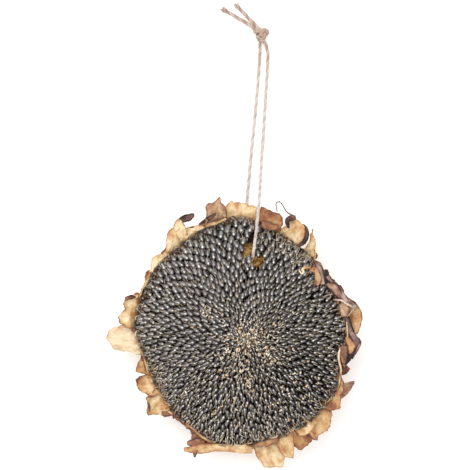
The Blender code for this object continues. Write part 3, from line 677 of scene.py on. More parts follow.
# Folded tips and strips: bearing, radius, height, width and roll along the spine of each.
FOLDED = {
    "bract_top_left_curl_tip": {
        "spine": (
            (119, 99.2, 34, 4.5, 10), (117, 99.2, 37, 6, 25), (114.6, 98.6, 38.5, 6.4, 35),
            (112.2, 98.2, 37, 4.6, 50),
        ),
        "shades": (0.55, 0.85, 0.8, 0.72), "mauve": 0.7,
    },
    "bract_top_left_dark_edge": {
        "spine": ((117.6, 91.4, 31, 1.2, 20), (115.2, 90.2, 33, 2, 30), (112.5, 89, 33, 2.2, 40)),
        "shades": (0.95, 0.9, 0.7), "mauve": 0.2,
    },
    "bract_top_pale_rim": {
        "spine": (
            (113, 88.5, 32, 3.5, 35), (108, 87.6, 34, 4, 45), (103, 87.6, 34, 4, 45),
            (97.5, 89.5, 32, 3, 40),
        ),
        "shades": (0.3, 0.3, 0.24, 0.2), "mauve": 0.1,
    },
    "bract_top_brown_fold": {
        "spine": (
            (111.5, 90, 33, 2, 20), (108, 91.4, 36, 3.4, 35), (104.6, 93.2, 38, 3.6, 40),
            (102, 95, 37, 1.6, 30),
        ),
        "shades": (0.7, 0.78, 0.7, 0.6), "mauve": 0.1,
    },
    "bract_top_right_lip": {
        "spine": (
            (79, 86.8, 32, 5, 20), (76, 85.2, 35, 7, 30), (73, 85.6, 35, 6, 30), (70.5, 87.5, 33, 4, 20),
        ),
        "shades": (0.5, 0.58, 0.52, 0.5), "mauve": 0.1,
    },
    "bract_top_right_dark_lobe": {
        "spine": (
            (64.2, 99.6, 35.5, 3, 10), (66, 97.5, 38.2, 6, 40), (67.2, 94, 38.5, 6, 55),
            (65.5, 89.5, 36, 2.5, 30),
        ),
        "shades": (0.6, 0.85, 0.98, 0.9), "mauve": 0.3,
    },
    "bract_top_right_wire": {
        "spine": (
            (65, 99.8, 36, 1.4, 0), (68.3, 100.4, 36, 1, 0), (70, 102, 36, 0.8, 0),
            (71.8, 104.8, 36, 0.7, 0), (73.4, 106.4, 36.5, 0.6, 0), (74.6, 105, 37, 0.6, 0),
            (74.2, 102, 37, 0.55, 0), (73.2, 98.5, 36, 0.5, 0),
        ),
        "shades": (0.7, 0.75, 0.75, 0.7), "mauve": 0.8, "crumple": 0.1, "pitch": 0.7,
    },
    # This dark band is painted shade: the side of the fold that lies in shadow.
    "bract_top_right_dark_band": {
        "spine": (
            (60, 97, 35.5, 2, 10), (57.6, 95.6, 37, 3.4, 25), (55.6, 92, 37.6, 4.6, 35),
            (54.6, 87.4, 37, 4.6, 35), (55.4, 83, 35, 3.4, 20), (57, 80.6, 33, 1.5, 10),
        ),
        "shades": (0.7, 0.78, 0.82, 0.86, 0.82, 0.7), "mauve": 0.5,
    },
    "bract_right_rim_edge": {
        "spine": (
            (-9.5, 79.8, 33.5, 1.2, 20), (-13.6, 79.3, 35, 1.5, 20), (-18, 81.8, 35, 1.5, 20),
            (-22.5, 85.4, 33, 1.6, 20), (-30, 88.5, 30, 1.6, 30),
        ),
        "shades": (0.1, 0, 0.05, 0.2), "mauve": 0.3,
    },
    "bract_right_knob": {
        "spine": (
            (31.6, 80.6, 34, 2.4, 0), (33, 81, 36.4, 3.6, 20), (34.6, 82, 37, 3.8, 30),
            (36, 83, 35, 2.2, 30),
        ),
        "shades": (0.8, 0.95, 1, 0.95), "mauve": 0.5,
    },
    "bract_right_folded_curl": {
        "spine": (
            (46.7, 66.8, 36, 0.8, 0), (43.6, 65.9, 37, 1.4, 20), (43.3, 67.8, 38, 1.7, 30),
            (45.4, 68.9, 38.4, 1.8, 30), (44.8, 71.3, 38.6, 2.4, 30), (43.6, 73.2, 38.8, 2.6, 30),
            (42, 74.2, 38.4, 1.6, 20),
        ),
        "shades": (0.1, -0.08, -0.15, -0.05, 0.1, 0.3), "crumple": 0.4, "pitch": 0.6,
    },
    "bract_bottom_long_strip": {
        "spine": (
            (-84.5, 94.2, 28, 6, -6), (-90, 93.6, 29.5, 6.6, 8), (-97, 93.2, 30, 6, 14),
            (-104, 95, 30, 6.5, 10), (-110, 99.3, 30, 8, 4), (-115.8, 104, 29.5, 3, 0),
        ),
        "shades": (0.2, 0.18, 0.22, 0.32, 0.38, 0.3), "mauve": 0.05,
    },
    "bract_bottom_left_spike": {
        "spine": ((-112, 97.5, 28, 5, 0), (-110.8, 102, 30, 4.4, 20), (-110.2, 106.4, 29, 1.2, 30)),
        "shades": (0.55, 0.6, 0.75), "mauve": 0.4,
    },
    "bract_bottom_left_flap": {
        "spine": ((-108, 92.5, 27, 5, 20), (-112, 95, 28.5, 7, 20), (-115.6, 98.8, 28, 2, 10)),
        "shades": (0.5, 0.62, 0.55), "mauve": 0.25,
    },
    "bract_bottom_left_rim_edge": {
        "spine": (
            (-104.5, 91, 31.5, 2, 40), (-110, 89, 33, 2.4, 55), (-116, 86.2, 32.8, 2.4, 55),
            (-121, 84.6, 31, 1.8, 40),
        ),
        "shades": (0.5, 0.3, 0.3, 0.4), "mauve": 0.15,
    },
    "bract_low_left_fold": {
        "spine": ((-138.6, 96.6, 32, 1, 20), (-140, 94, 33.5, 1.8, 40), (-142.4, 92, 32.5, 1, 20)),
        "shades": (0.55, 0.62, 0.5), "mauve": 0.1,
    },
    "bract_low_left_side": {
        "spine": ((-130.5, 85, 30, 4, 20), (-131.8, 87.4, 32.5, 5.4, 40), (-134, 90, 32, 3, 30)),
        "shades": (0.6, 0.66, 0.6), "mauve": 0.15,
    },
    "bract_left_hump_edge": {
        "spine": (
            (-153, 82.3, 31.5, 1.6, 40), (-158, 79.9, 33.4, 2.4, 60), (-163, 79.6, 33.2, 2.2, 60),
            (-166.5, 80.6, 31.5, 1.5, 40),
        ),
        "shades": (0.4, 0.26, 0.26, 0.4), "mauve": 0.1,
    },
    "bract_left_yellow_fold": {
        "spine": ((161.5, 87.5, 34, 2, 20), (162.8, 90.8, 36.8, 4.4, 40), (164.6, 94.8, 36.6, 2.6, 30)),
        "shades": (0.85, 0.7, 0.55), "mauve": 0.1,
    },
}
for name, bract in FOLDED.items():
    paper(
        name, blade(bract["spine"]), bract["shades"], bract.get("mauve", 0.0),
        crumple=bract.get("crumple", 0.6), pitch=bract.get("pitch", 0.8), cup=0.0,
    )

# Facets: the right-hand bracts have dried into sharp folds, and each flat between two creases is a
# sheet of its own, laid between rails of x, y and height that run side by side from end to end.
FACETS = {
    "facet_flap": {
        "rails": (
            ((57.2, 51.4, 34.5), (58.2, 45.5, 37.6), (57.3, 39.5, 37.8), (56.6, 34.4, 36.6)),
            ((58.6, 51.4, 35), (60, 45.5, 38.2), (59.4, 40, 38.4), (58.8, 37.4, 37.4)),
            ((59.4, 51.4, 35), (61.4, 45.5, 37.8), (61.6, 40, 38), (60.4, 35.2, 36.8)),
            ((60.2, 51.4, 34.5), (62.4, 46, 37), (63.4, 40.6, 37.2), (62.8, 37.4, 36.6)),
        ),
        "shades": (0.62, 0.44, 0.34, 0.38, 0.46), "mauve": 0.25,
    },
    "facet_flap_lobe": {
        "rails": (
            ((58.4, 52, 35.5), (55.8, 50.8, 37.2), (53.2, 48.6, 36.6)),
            ((59.2, 44.8, 37.2), (57, 45.8, 37.8), (54.4, 47.4, 36.8)),
        ),
        "shades": (0.6, 0.66, 0.5),
    },
    "facet_flap_ridge": {
        "rails": (
            ((57.7, 54.8, 32), (60.4, 50.2, 37), (62, 44.8, 37.6), (62.6, 39.4, 37.2), (62.8, 37, 36.6)),
            ((60.6, 53, 30.5), (63.6, 49.2, 35.2), (65.2, 44.6, 36), (66, 39.8, 35.6), (66.6, 36.8, 35)),
        ),
        "shades": (0.5, 0.5, 0.5, 0.4, 0.2), "mauve": 0.9,
    },
    "facet_strip_top": {
        "rails": (
            ((65.6, 44.4, 34.5), (67, 41.2, 36.4), (70, 37.4, 37)),
            ((68.6, 46.2, 35), (71, 42.2, 36.2), (73.4, 39.2, 36)),
        ),
        "shades": (0.7, 0.45, 0.4), "mauve": 0.9,
    },
    "facet_strip_crease": {
        "rails": (
            ((65, 43.2, 35.5), (67.6, 39.8, 37), (70.2, 38, 37.4)),
            ((66, 43.6, 35.7), (68.6, 40.5, 37.2), (70.8, 38.9, 37.5)),
        ),
        "shades": (1, 0.95, 0.9), "mauve": 0.4,
    },
    "facet_strip_middle": {
        "rails": (
            ((66.9, 36.7, 34.5), (70, 33.5, 36.6), (73.9, 28.6, 37.2), (77.9, 24.6, 36.6)),
            ((69.4, 38.4, 36), (73.4, 34.6, 37.8), (76.6, 30.8, 38.2), (79.6, 26.4, 37.6)),
            ((71.4, 39.8, 34.5), (76.2, 35.4, 36.6), (78.8, 32.7, 37), (81, 28.4, 36.4)),
        ),
        "shades": (0.56, 0.42, 0.46, 0.48, 0.56), "mauve": 0.65,
    },
    "facet_strip_bump": {
        "rails": (
            ((72, 39.4, 34.5), (74.2, 37.2, 36.6), (76, 35, 35.5)),
            ((73.6, 40, 33.5), (75.6, 38, 35), (77.2, 36, 34)),
        ),
        "shades": (0.6, 0.68, 0.6), "mauve": 1,
    },
    "facet_strip_light": {
        "rails": (
            ((78.2, 30, 37.6), (79.4, 25.6, 38), (82.4, 22.2, 37.8)),
            ((78.4, 33.5, 36.2), (83, 28.1, 36.6), (85.2, 24.2, 36.8)),
        ),
        "shades": (0.34, 0.2, 0.26), "mauve": 1,
    },
    "facet_loop_pink": {
        "rails": (
            ((82.8, 22.4, 37.4), (84.6, 19.4, 37.8), (87.3, 17.1, 37.6)),
            ((84.4, 24.8, 36.6), (89.5, 23.5, 36.6), (92.4, 19.8, 36.6)),
        ),
        "shades": (0.3, 0.62, 0.3), "mauve": 0.95,
    },
    "facet_loop_ridge": {
        "rails": (
            ((73.9, 25.2, 35.5), (79.5, 24.8, 38), (83.5, 21.9, 38.7), (87.6, 20.2, 38.4)),
            ((73.8, 24.2, 35.4), (79.3, 23.5, 37.9), (83.1, 20.5, 38.6), (87.2, 18.9, 38.3)),
        ),
        "shades": (0.15, 0, 0, 0.1), "mauve": 0.8, "rim_shade": 0.15,
    },
    "facet_loop_crease": {
        "rails": (
            ((92.6, 20.6, 36.6), (88.3, 16.5, 38.4), (84.7, 12, 37.8)),
            ((91.2, 19.2, 36.8), (87, 15.2, 38.6), (83.5, 11, 37.8)),
        ),
        "shades": (0.25, 0.05, 0.2), "mauve": 0.5, "rim_shade": 0.15,
    },
    "facet_loop_brown": {
        "rails": (
            ((78, 21.4, 35), (77.6, 17.5, 36.6), (78.8, 11.2, 35.6)),
            ((80, 21.8, 36.8), (81.4, 17.5, 37.8), (81.6, 11.2, 36.8)),
            ((82.2, 21.8, 37.2), (86.2, 17.2, 37.6), (84.4, 11.2, 37.4)),
        ),
        "shades": (0.5, 0.36, 0.4, 0.5), "mauve": 0.45,
    },
    "facet_fold_mauve": {
        "rails": (
            ((81.4, 12, 35.6), (83.4, 4.5, 36.6), (85, -2, 37), (88, -9, 37.2), (88.4, -13.8, 36.6)),
            (
                (84.6, 12, 36.4), (87.6, 3.2, 37), (91, -3.2, 36.4), (94.6, -8.2, 35.8),
                (91.6, -14.4, 35.6),
            ),
        ),
        "shades": (0.66, 0.58, 0.53, 0.58, 0.7), "mauve": 0.9,
    },
    "facet_fold_line": {
        "rails": (
            ((84.2, 12.4, 37.4), (86.2, 5.9, 37.8), (88.4, -0.4, 37.4)),
            ((85.3, 12, 37.2), (87.4, 5.7, 37.6), (89.4, -0.6, 37.2)),
        ),
        "shades": (1, 1, 0.95), "mauve": 0.2,
    },
    "facet_fold_pale": {
        "rails": (
            ((82.8, 7.4, 37.2), (83.4, 1.2, 38), (83.6, -4.6, 37.4)),
            ((83.8, 7.2, 37.2), (84.3, 1.2, 37.9), (84.5, -4.4, 37.3)),
        ),
        "shades": (0.2, 0, 0.15), "mauve": 0.3, "rim_shade": 0.1,
    },
    "facet_fold_tan": {
        "rails": (
            ((82.4, -5, 36.2), (83.6, -11.6, 37.4), (85, -18.2, 36.6)),
            ((84, -4.6, 36.8), (87.2, -11.4, 38), (86, -18.2, 37)),
            ((85, -5, 36.8), (90.8, -11.6, 37.8), (87, -18, 36.8)),
        ),
        "shades": (0.5, 0.4, 0.34, 0.44, 0.66),
    },
    # This near-black sheet is a painted shadow on the side of the fold that lies in shade.
    "facet_fold_black": {
        "rails": (
            ((86.4, -15.2, 35.8), (84.2, -20.5, 36.2), (82.2, -26.6, 34)),
            ((90.8, -13.2, 36.2), (88.2, -20.4, 35.6), (83.2, -26.8, 33.8)),
        ),
        "shades": (0.86, 0.95, 0.9), "mauve": 0.3,
    },
    "facet_fold_edge": {
        "rails": (
            ((93.4, -9.4, 36.8), (90.3, -15.6, 36.5), (86.9, -21.6, 35.4)),
            ((95, -10.4, 36), (91.9, -16.4, 35.7), (87.7, -22.3, 34.8)),
        ),
        "shades": (0.4, 0.5, 0.65), "mauve": 1,
    },
    "facet_fold_brown": {
        "rails": (
            ((77.8, -12.6, 33), (77.4, -18, 34.2), (79, -23.2, 34), (81.2, -29, 32)),
            ((80.4, -12.2, 34.6), (80.8, -18, 35.6), (81, -24, 35), (81.8, -29.2, 32.4)),
            ((83.6, -11.8, 34.6), (84.8, -17.5, 35.4), (83.6, -24.7, 34.6), (82.6, -29.2, 32.2)),
        ),
        "shades": (0.5, 0.56, 0.6, 0.6), "mauve": 0.3,
    },
}
for name, facet in FACETS.items():
    paper(
        name, drape(facet["rails"]), facet["shades"], facet.get("mauve", 0.0),
        crumple=0.25, rim_shade=facet.get("rim_shade", 0.4), pitch=0.6, cup=0.0,
    )

# Outer bracts: they hug the side of the head below the others, each broad at its root and drawn
# out to a point.
OUTER_COUNT = 22
OUTER_SPINE = (  # share of the lean, distance past the rim, height and width, from root to tip
    (0, -17, 14.4, 15), (0.2, -9, 14.2, 21), (0.5, -0.5, 17.5, 19), (0.8, 2.2, 23.5, 11), (1, 2.6, 28.5, 2),
)
draw = random.Random(11)
for k in range(OUTER_COUNT):
    middle = 360 * k / OUTER_COUNT + draw.uniform(-4, 4)
    lean = draw.uniform(-4, 4)
    rim = rim_radius(middle)
    spine = [
        (middle + lean * share, rim + out, height + draw.uniform(-0.4, 0.4), width, draw.uniform(-8, 8))
        for share, out, height, width in OUTER_SPINE
    ]
    shade = draw.uniform(0.2, 0.44)
    paper(
        f"outer_bract_{k}", blade(spine), (0.5, shade, shade, shade + 0.15), draw.uniform(0, 0.5),
        crumple=1.0, rim_shade=0.2, pitch=1.8,
    )

# Seeds
# About a thousand hard, dark, striped hulls stand in the dish, in the spirals in which they grew,
# and lean in a little towards the rim. One hull is shaped from a sphere and copied to each place.

SEED_COUNT = 1050
EVENNESS = 0.6  # 1 spreads the seeds evenly and 0 crowds them in the middle
CROWDED_SIDE, RIM_CROWDING, CROWDING_SWING = 218.0, 0.07, 0.23  # how far they crowd at the rim, and where
FIELD_REACH = 83.0  # how far out the field goes, about
LIGHT_SIDE = 132.0  # the bearing from which the painted light makes the hulls palest
PAINTED_SHADOW_SPOT, PAINTED_SHADOW_WIDTH = (55.0, -45.0), 32.0  # a painted shadow, where the hulls and the chaff are painted darkest
GOLDEN_ANGLE = 137.50776
WHORL_CENTRE = (4.0, -7.9)
EDGE_MARGIN = 3.0
LEAST_PITCH = 2.4
SIX_SIDED = math.sqrt(3) / 2  # the area of a six-sided cell over its pitch squared
MIDDLE_TOP, RIM_TOP = 29.5, 31.5
SEED_LENGTH = 9.5
STRAY, STRAY_TURN, STRAY_LEAN = 0.5, 26, 5  # how far a hull is from its place and from square
POCKETS = (  # where seeds are missing: the middle and the two half widths of each bare patch
    (6.2, 62.0, 4.0, 6.0), (12.6, 54.4, 4.7, 4.9), (6.6, 69.4, 2.4, 4.2), (9.0, 74.4, 2.0, 4.0),
)
EDGE_HULLS = 170  # small empty hulls that crowd the edge
HULL_SIDES, HULL_RINGS = 8, 7
HULL_SHAPE = (  # height and half width, from its foot to its tip
    (0.0, 0.0), (0.25, 0.75), (0.62, 1.0), (0.80, 0.93), (0.90, 0.72), (0.96, 0.40), (0.99, 0.15), (1.0, 0.0),
)
HULL_SQUARING = 1.45  # 2 is a round section and 1 a square stood on its corner
TIP_SHIFT = 0.42
STREAKS_ACROSS, STREAKS_ALONG = 2.2, 0.9
STREAK_DEPTH = 1.8

# Sunflower hull: hard, dry and satin, charcoal with fine grey stripes along it. The scar where the
# floret stood is pale. The scar value marks it, and also a painted highlight: a pale streak along
# the top ridge, outwards from the scar. tone sets how dark each hull is, with painted light and
# shade in it, and grain is the place on the hull, across and along it, with a number of its own for
# each.
hull, tree, output = new_material("sunflower_hull")
streaks = add_noise(tree, point_value(tree, "grain", "Vector"), 1.0, 4, 0.65)
lift = times_plus(tree, streaks, STREAK_DEPTH, point_value(tree, "tone"))
body = add_ramp(tree, lift, (0.20, "282526"), (0.45, "474343"), (0.65, "6A6463"), (0.90, "9C9491"))
scar = point_value(tree, "scar")
colour = add_node(tree, "ShaderNodeMixRGB", {"Color2": linear("EFEBE4")}, {"Fac": scar, "Color1": body})
add_surface(
    tree, output, colour.outputs["Color"], 0.46, streaks, bump_strength=0.4, bump_depth=0.4, refraction=1.5
)


def seed_places():
    """The tip of each seed, in the spirals in which they grow, how far out it is and its pitch."""
    places = []
    centre = Vector((*WHORL_CENTRE, 0))
    for k in range(SEED_COUNT):
        bearing = k * GOLDEN_ANGLE
        loose, order = (1 - EVENNESS) / 2, (k + 0.5) / SEED_COUNT
        even_share = (math.sqrt(loose**2 + EVENNESS * order) - loose) / EVENNESS
        crowding = RIM_CROWDING + CROWDING_SWING * math.cos(math.radians(bearing - CROWDED_SIDE))
        share = even_share + crowding * even_share * (1 - even_share)
        step = (1 + crowding * (1 - 2 * even_share)) / (2 * SEED_COUNT * (EVENNESS * even_share + loose))
        to_edge = on_head(bearing, rim_radius(bearing) - EDGE_MARGIN, 0) - centre
        spot = to_edge * share + centre
        cell = 2 * math.pi * to_edge.length_squared * share * step
        places.append((spot.x, spot.y, share, max(math.sqrt(cell / SIX_SIDED), LEAST_PITCH)))
    return places


def in_pocket(x, y):
    return any(math.hypot((x - u) / half_u, (y - v) / half_v) < 1 for u, v, half_u, half_v in POCKETS)


def painted_shadow(x, y):
    """How deep the painted shadow is at a place, from 1 in its middle to 0."""
    return math.exp(-(math.dist((x, y), PAINTED_SHADOW_SPOT) / PAINTED_SHADOW_WIDTH) ** 2)


def top_height(share):
    return MIDDLE_TOP + (RIM_TOP - MIDDLE_TOP) * share**2


def add_mesh(name, points, faces, **values):
    """A piece from points and faces, with values that the material reads at each point."""
    mesh = bpy.data.meshes.new(name)
    mesh.from_pydata(points, [], faces)
    for key, numbers in values.items():
        set_values(mesh, key, numbers)
    made = bpy.data.objects.new(name, mesh)
    bpy.context.collection.objects.link(made)
    return made


def scatter(name, model, placings, **values):
    """One piece of copies of a model, which is then removed: a matrix and values for each copy."""
    shape = [vert.co.copy() for vert in model.data.vertices]
    faces = [list(face.vertices) for face in model.data.polygons]
    bpy.data.objects.remove(model, do_unlink=True)
    points, corners = [], []
    for matrix in placings:
        start = len(points)
        points.extend(matrix @ point for point in shape)
        corners.extend([start + k for k in face] for face in faces)
    return add_mesh(name, points, corners, **values)


deselect_all()
bpy.ops.mesh.primitive_uv_sphere_add(segments=HULL_SIDES, ring_count=HULL_RINGS, radius=1)
model = bpy.context.object
scar_and_highlight_shape, grain_shape = [], []
for vert in model.data.vertices:
    ring = round(HULL_RINGS * (1 - math.acos(min(max(vert.co.z, -1), 1)) / math.pi))
    height, width = HULL_SHAPE[ring]
    turn = math.atan2(vert.co.y, vert.co.x) if 0 < ring < HULL_RINGS else 0
    power = HULL_SQUARING
    width /= (abs(math.cos(turn)) ** power + abs(math.sin(turn)) ** power) ** (1 / power)
    shift = -TIP_SHIFT * ease((height - 0.55) / 0.45)
    vert.co = Vector((width * math.cos(turn) + shift, width * math.sin(turn), height - 1))
    # Painted highlight: the top ridge, outwards from the scar, gets a pale streak.
    on_ridge = abs(vert.co.y) < 0.05 and vert.co.z > -0.5 and vert.co.x > -TIP_SHIFT
    scar_and_highlight_shape.append(1.0 if vert.co.z > -0.015 else 0.42 if on_ridge else 0.0)
    grain_shape.append((STREAKS_ACROSS * vert.co.y, STREAKS_ALONG * vert.co.x))

draw = random.Random(7)
placings, scars_and_highlights, tones, spots = [], [], [], []
for x, y, share, pitch in seed_places():
    twist = draw.uniform(-STRAY_TURN, STRAY_TURN)
    tip, size = draw.uniform(-0.9, 0.7), draw.uniform(0.84, 1.08)
    x, y = x + draw.uniform(-STRAY, STRAY), y + draw.uniform(-STRAY, STRAY)
    sway = draw.uniform(-STRAY_LEAN, STRAY_LEAN), draw.uniform(-STRAY_LEAN, STRAY_LEAN)
    tone, pale = draw.random(), draw.random()
    if in_pocket(x, y):
        continue
    low, up, right = (min(max(value / FIELD_REACH, 0), 1) for value in (-y, y, x))
    lean = 3 + 6 * share
    outward = math.atan2(y - WHORL_CENTRE[1], x - WHORL_CENTRE[0])
    # The hulls are broader and flatter towards the top edge, and flatter towards the right.
    wide = (0.44 + 0.09 * up**2 - 0.01 * low) * pitch * size
    thick = (0.62 - 0.07 * up**2 - 0.05 * right**2) * pitch * size
    # Painted light and shade: the hulls are paler towards LIGHT_SIDE, from which the light comes, and darker
    # in the painted shadow at the lower right. They are also darker towards the top edge.
    painted_light_and_shade = share * (0.115 * math.cos(math.atan2(y, x) - math.radians(LIGHT_SIDE)) - 0.045)
    painted_light_and_shade -= 0.22 * painted_shadow(x, y) + 0.14 * min(max((y - 50) / 25, 0), 1)
    matrix = (
        Matrix.Translation(Vector((x, y, top_height(share) + tip)) * MM)
        @ Matrix.Rotation(outward, 4, "Z")
        @ Matrix.Rotation(math.radians(-lean + sway[0]), 4, "Y")
        @ Matrix.Rotation(math.radians(sway[1]), 4, "X")
        @ Matrix.Rotation(math.radians(twist), 4, "Z")
        @ Matrix.Diagonal((thick * MM, wide * MM, SEED_LENGTH * MM, 1))
        @ Matrix.Translation((TIP_SHIFT / 2, 0, 0))
    )
    placings.append(matrix)
    scars_and_highlights.extend(value * (0.4 + 0.6 * pale) for value in scar_and_highlight_shape)
    tones.extend([-0.52 + 0.22 * tone + painted_light_and_shade] * len(scar_and_highlight_shape))
    spots.append((x, y, share, pitch, outward))
for k in range(EDGE_HULLS):
    bearing = 360 * k / EDGE_HULLS + draw.uniform(-0.8, 0.8)
    spot = on_head(bearing, rim_radius(bearing) - draw.uniform(0.5, 2.0), RIM_TOP - draw.uniform(0.3, 2.2))
    half = draw.uniform(0.9, 1.3) * MM
    placings.append(
        Matrix.Translation(spot * MM)
        @ Matrix.Rotation(math.radians(bearing), 4, "Z")
        @ Matrix.Diagonal((half, half, SEED_LENGTH * MM, 1))
    )
    scars_and_highlights.extend([0.2 * draw.random()] * len(scar_and_highlight_shape))
    tones.extend([draw.uniform(-0.35, 0.0)] * len(scar_and_highlight_shape))
seeds = scatter("seed_hulls", model, placings, scar=scars_and_highlights, tone=tones)
grains = []
for k in range(len(placings)):
    for across, along in grain_shape:
        grains.extend((across, along, 3.7 * k))
seeds.data.attributes.new("grain", "FLOAT_VECTOR", "POINT").data.foreach_set("vector", grains)
finish(seeds, hull, "seed_hull", "seeds")

# Chaff
# Up to four thin straw scales stand round each seed, and their frayed tips show between the hulls,
# most of all towards the lower edge. One tapered scale is shaped from a cone and copied.

CHAFF_FOOT = 21.0
CHAFF_THICKNESS = 0.22

# Dry chaff: brittle straw, matt, from pale straw to ochre and grey-brown. tone picks the colour.
straw, tree, output = new_material("dry_chaff_straw")
place = add_node(tree, "ShaderNodeTexCoord").outputs["Object"]
fibres = add_noise(tree, place, 1200, 2)
colour = add_ramp(
    tree, times_plus(tree, fibres, 0.3, point_value(tree, "tone")),
    (0.10, "544C47"), (0.35, "8A7C6C"), (0.55, "CCBC9F"), (0.75, "F1E6D0"), (0.90, "DCC198"), (1.0, "C69A72"),
)
add_surface(tree, output, colour, 0.8, fibres, bump_strength=0.3, bump_depth=0.2)

deselect_all()
bpy.ops.mesh.primitive_cone_add(vertices=4, radius1=0.6, radius2=1, depth=1, location=(0, 0, 0.5))
model = bpy.context.object
bpy.ops.object.transform_apply(location=True)
for vert in model.data.vertices:
    vert.co.z -= 0.06 * abs(vert.co.x) * vert.co.z
corner_count = len(model.data.vertices)

draw = random.Random(23)
placings, tones = [], []
for x, y, share, pitch, outward in spots:
    low = min(max(0.5 + (0.5 * x - y) / 120, 0), 1)
    often = 0.92 - 0.2 * min(max(y / FIELD_REACH, 0), 1)
    for side in (-1, -0.25, 0.3, 1):
        if draw.random() > often:
            continue
        swing = outward + side * math.pi / 2 + draw.uniform(-0.3, 0.3)
        away = pitch * draw.uniform(0.40, 0.58)
        spot = Vector((x + away * math.cos(swing), y + away * math.sin(swing), CHAFF_FOOT))
        spot += on_head(math.degrees(outward), draw.uniform(0, 0.5) * pitch, 0)
        edge = rim_radius(math.degrees(math.atan2(spot.y, spot.x)))
        if spot.xy.length > edge - 0.8 or in_pocket(spot.x, spot.y):
            continue
        tall = top_height(share) - CHAFF_FOOT - draw.uniform(-0.1, 2.2)
        matrix = (
            Matrix.Translation(spot * MM)
            @ Matrix.Rotation(outward + draw.uniform(-0.25, 0.25), 4, "Z")
            @ Matrix.Rotation(math.radians(draw.uniform(-8, 8)), 4, "X")
            @ Matrix.Diagonal((draw.uniform(0.8, 2.4) * MM, CHAFF_THICKNESS * MM, tall * MM, 1))
        )
        placings.append(matrix)
        # The chaff is darker in the same painted shadow.
        tone = draw.uniform(-0.08, 0.4) + 0.3 * low * draw.random() - 0.3 * painted_shadow(x, y)
        tones.extend([tone] * corner_count)
finish(scatter("seed_chaff", model, placings, tone=tones), straw, "dry_bract")

# Rim scales
# Between the last seeds and the bracts stand short dry scales, torn and uneven, with their feet in
# the pith. One is a thin curved flake, copied round the rim in many widths and heights.

RIM_SCALES = 150
SCALE_FOOT = 24.0
SCALE_CURVE = 2.4  # how far a scale bends over
SCALE_TONES = (-0.1, 0.0, 0.05, 0.1, 0.2, 0.3, 0.5, 0.85)

deselect_all()
bpy.ops.mesh.primitive_grid_add(x_subdivisions=4, y_subdivisions=3, size=2)
model = bpy.context.object
for vert in model.data.vertices:
    across, up = vert.co.x, (vert.co.y + 1) / 2
    ragged = 1 + 0.22 * noise.noise(Vector((across * 1.9, 3, 0))) * up
    vert.co = Vector((0.5 * up**2 - 0.35 * across**2, across * (1 - 0.3 * up), up * ragged))
apply_modifier(model, "SOLIDIFY", thickness=0.12, offset=0)
corner_count = len(model.data.vertices)

draw = random.Random(61)
placings, tones = [], []
for k in range(RIM_SCALES):
    bearing = 360 * k / RIM_SCALES + draw.uniform(-1, 1)
    spot = on_head(bearing, rim_radius(bearing) + draw.uniform(-0.6, 0.5), SCALE_FOOT)
    matrix = (
        Matrix.Translation(spot * MM)
        @ Matrix.Rotation(math.radians(bearing + draw.uniform(-14, 14)), 4, "Z")
        @ Matrix.Rotation(math.radians(draw.uniform(-6, 12)), 4, "Y")
        @ Matrix.Diagonal((SCALE_CURVE * MM, draw.uniform(1.6, 3.2) * MM, draw.uniform(5.2, 8.2) * MM, 1))
    )
    placings.append(matrix)
    tones.extend([draw.choice(SCALE_TONES)] * corner_count)
finish(scatter("rim_scales", model, placings, tone=tones), straw, "dry_bract")

# Loose threads
# Torn edges of the chaff have come away as fine curled threads, which lie over the seeds near the
# rim. Each is a thin tapered tube along its own curve.

THREADS = 420
THREAD_RADIUS = 0.22
THREAD_RINGS = 5
THREAD_TONES = (0.35, 0.5, 0.6, 0.65)


def add_thread(draw, points, faces, spot, heading, curl, step, radius):
    """Adds a closed, tapered thread that starts at a spot, and turns by curl along its length."""
    first = len(points)
    for ring in range(THREAD_RINGS):
        turn = math.radians(heading + curl * ring / THREAD_RINGS)
        way = Vector((math.cos(turn), math.sin(turn), 0))
        for corner in (0, 120, 240):
            spin = math.radians(corner)
            side = Vector((-way.y, way.x, 0)) * math.cos(spin) + Vector((0, 0, 1)) * math.sin(spin)
            points.append((spot + side * radius * (1 - 0.7 * ring / THREAD_RINGS)) * MM)
        spot = spot + way * step + Vector((0, 0, draw.uniform(-0.15, 0.25)))
    for ring in range(THREAD_RINGS - 1):
        for corner in range(3):
            low, after = first + 3 * ring + corner, first + 3 * ring + (corner + 1) % 3
            faces.append((low, after, after + 3, low + 3))
    faces.append((first + 2, first + 1, first))
    faces.append(tuple(len(points) - 3 + corner for corner in range(3)))


draw = random.Random(67)
points, faces, tones = [], [], []
for _ in range(THREADS):
    bearings = draw.gauss(60, 18), draw.gauss(215, 35), draw.gauss(300, 40), draw.uniform(0, 360)
    bearing = draw.choice(bearings)
    rim = rim_radius(bearing)
    radius = rim - min(abs(draw.gauss(0, 9)) + 1.0, 60)
    spot = on_head(bearing, radius, top_height(radius / rim) + draw.uniform(-1.0, 0.3))
    heading, curl, step = bearing + draw.gauss(0, 40), draw.uniform(-60, 60), draw.uniform(0.6, 1.5)
    add_thread(draw, points, faces, spot, heading, curl, step, THREAD_RADIUS)
    tones.extend([draw.choice(THREAD_TONES)] * 3 * THREAD_RINGS)
finish(add_mesh("chaff_threads", points, faces, tone=tones), straw, "dry_bract")

# Dry florets
# Shrivelled floret tubes are left over the youngest seeds in the middle, and bits of them lie
# scattered between the other seeds. One bent tube is shaped and copied.

CLUSTERS = (  # the middle, the spread and the number of each
    (9, -3, 13, 62), (1, -12, 16, 44), (-8, -24, 14, 34), (4, -42, 6, 14), (22, -16, 5, 10), (26, -25, 4, 7),
    (-27, 15, 6, 8), (-12, -62, 8, 8), (44, -44, 20, 26), (0, -4, 60, 60),
)
FLORET_TONES = (0.3, 0.45, 0.55, 0.65, 0.75, 0.8)

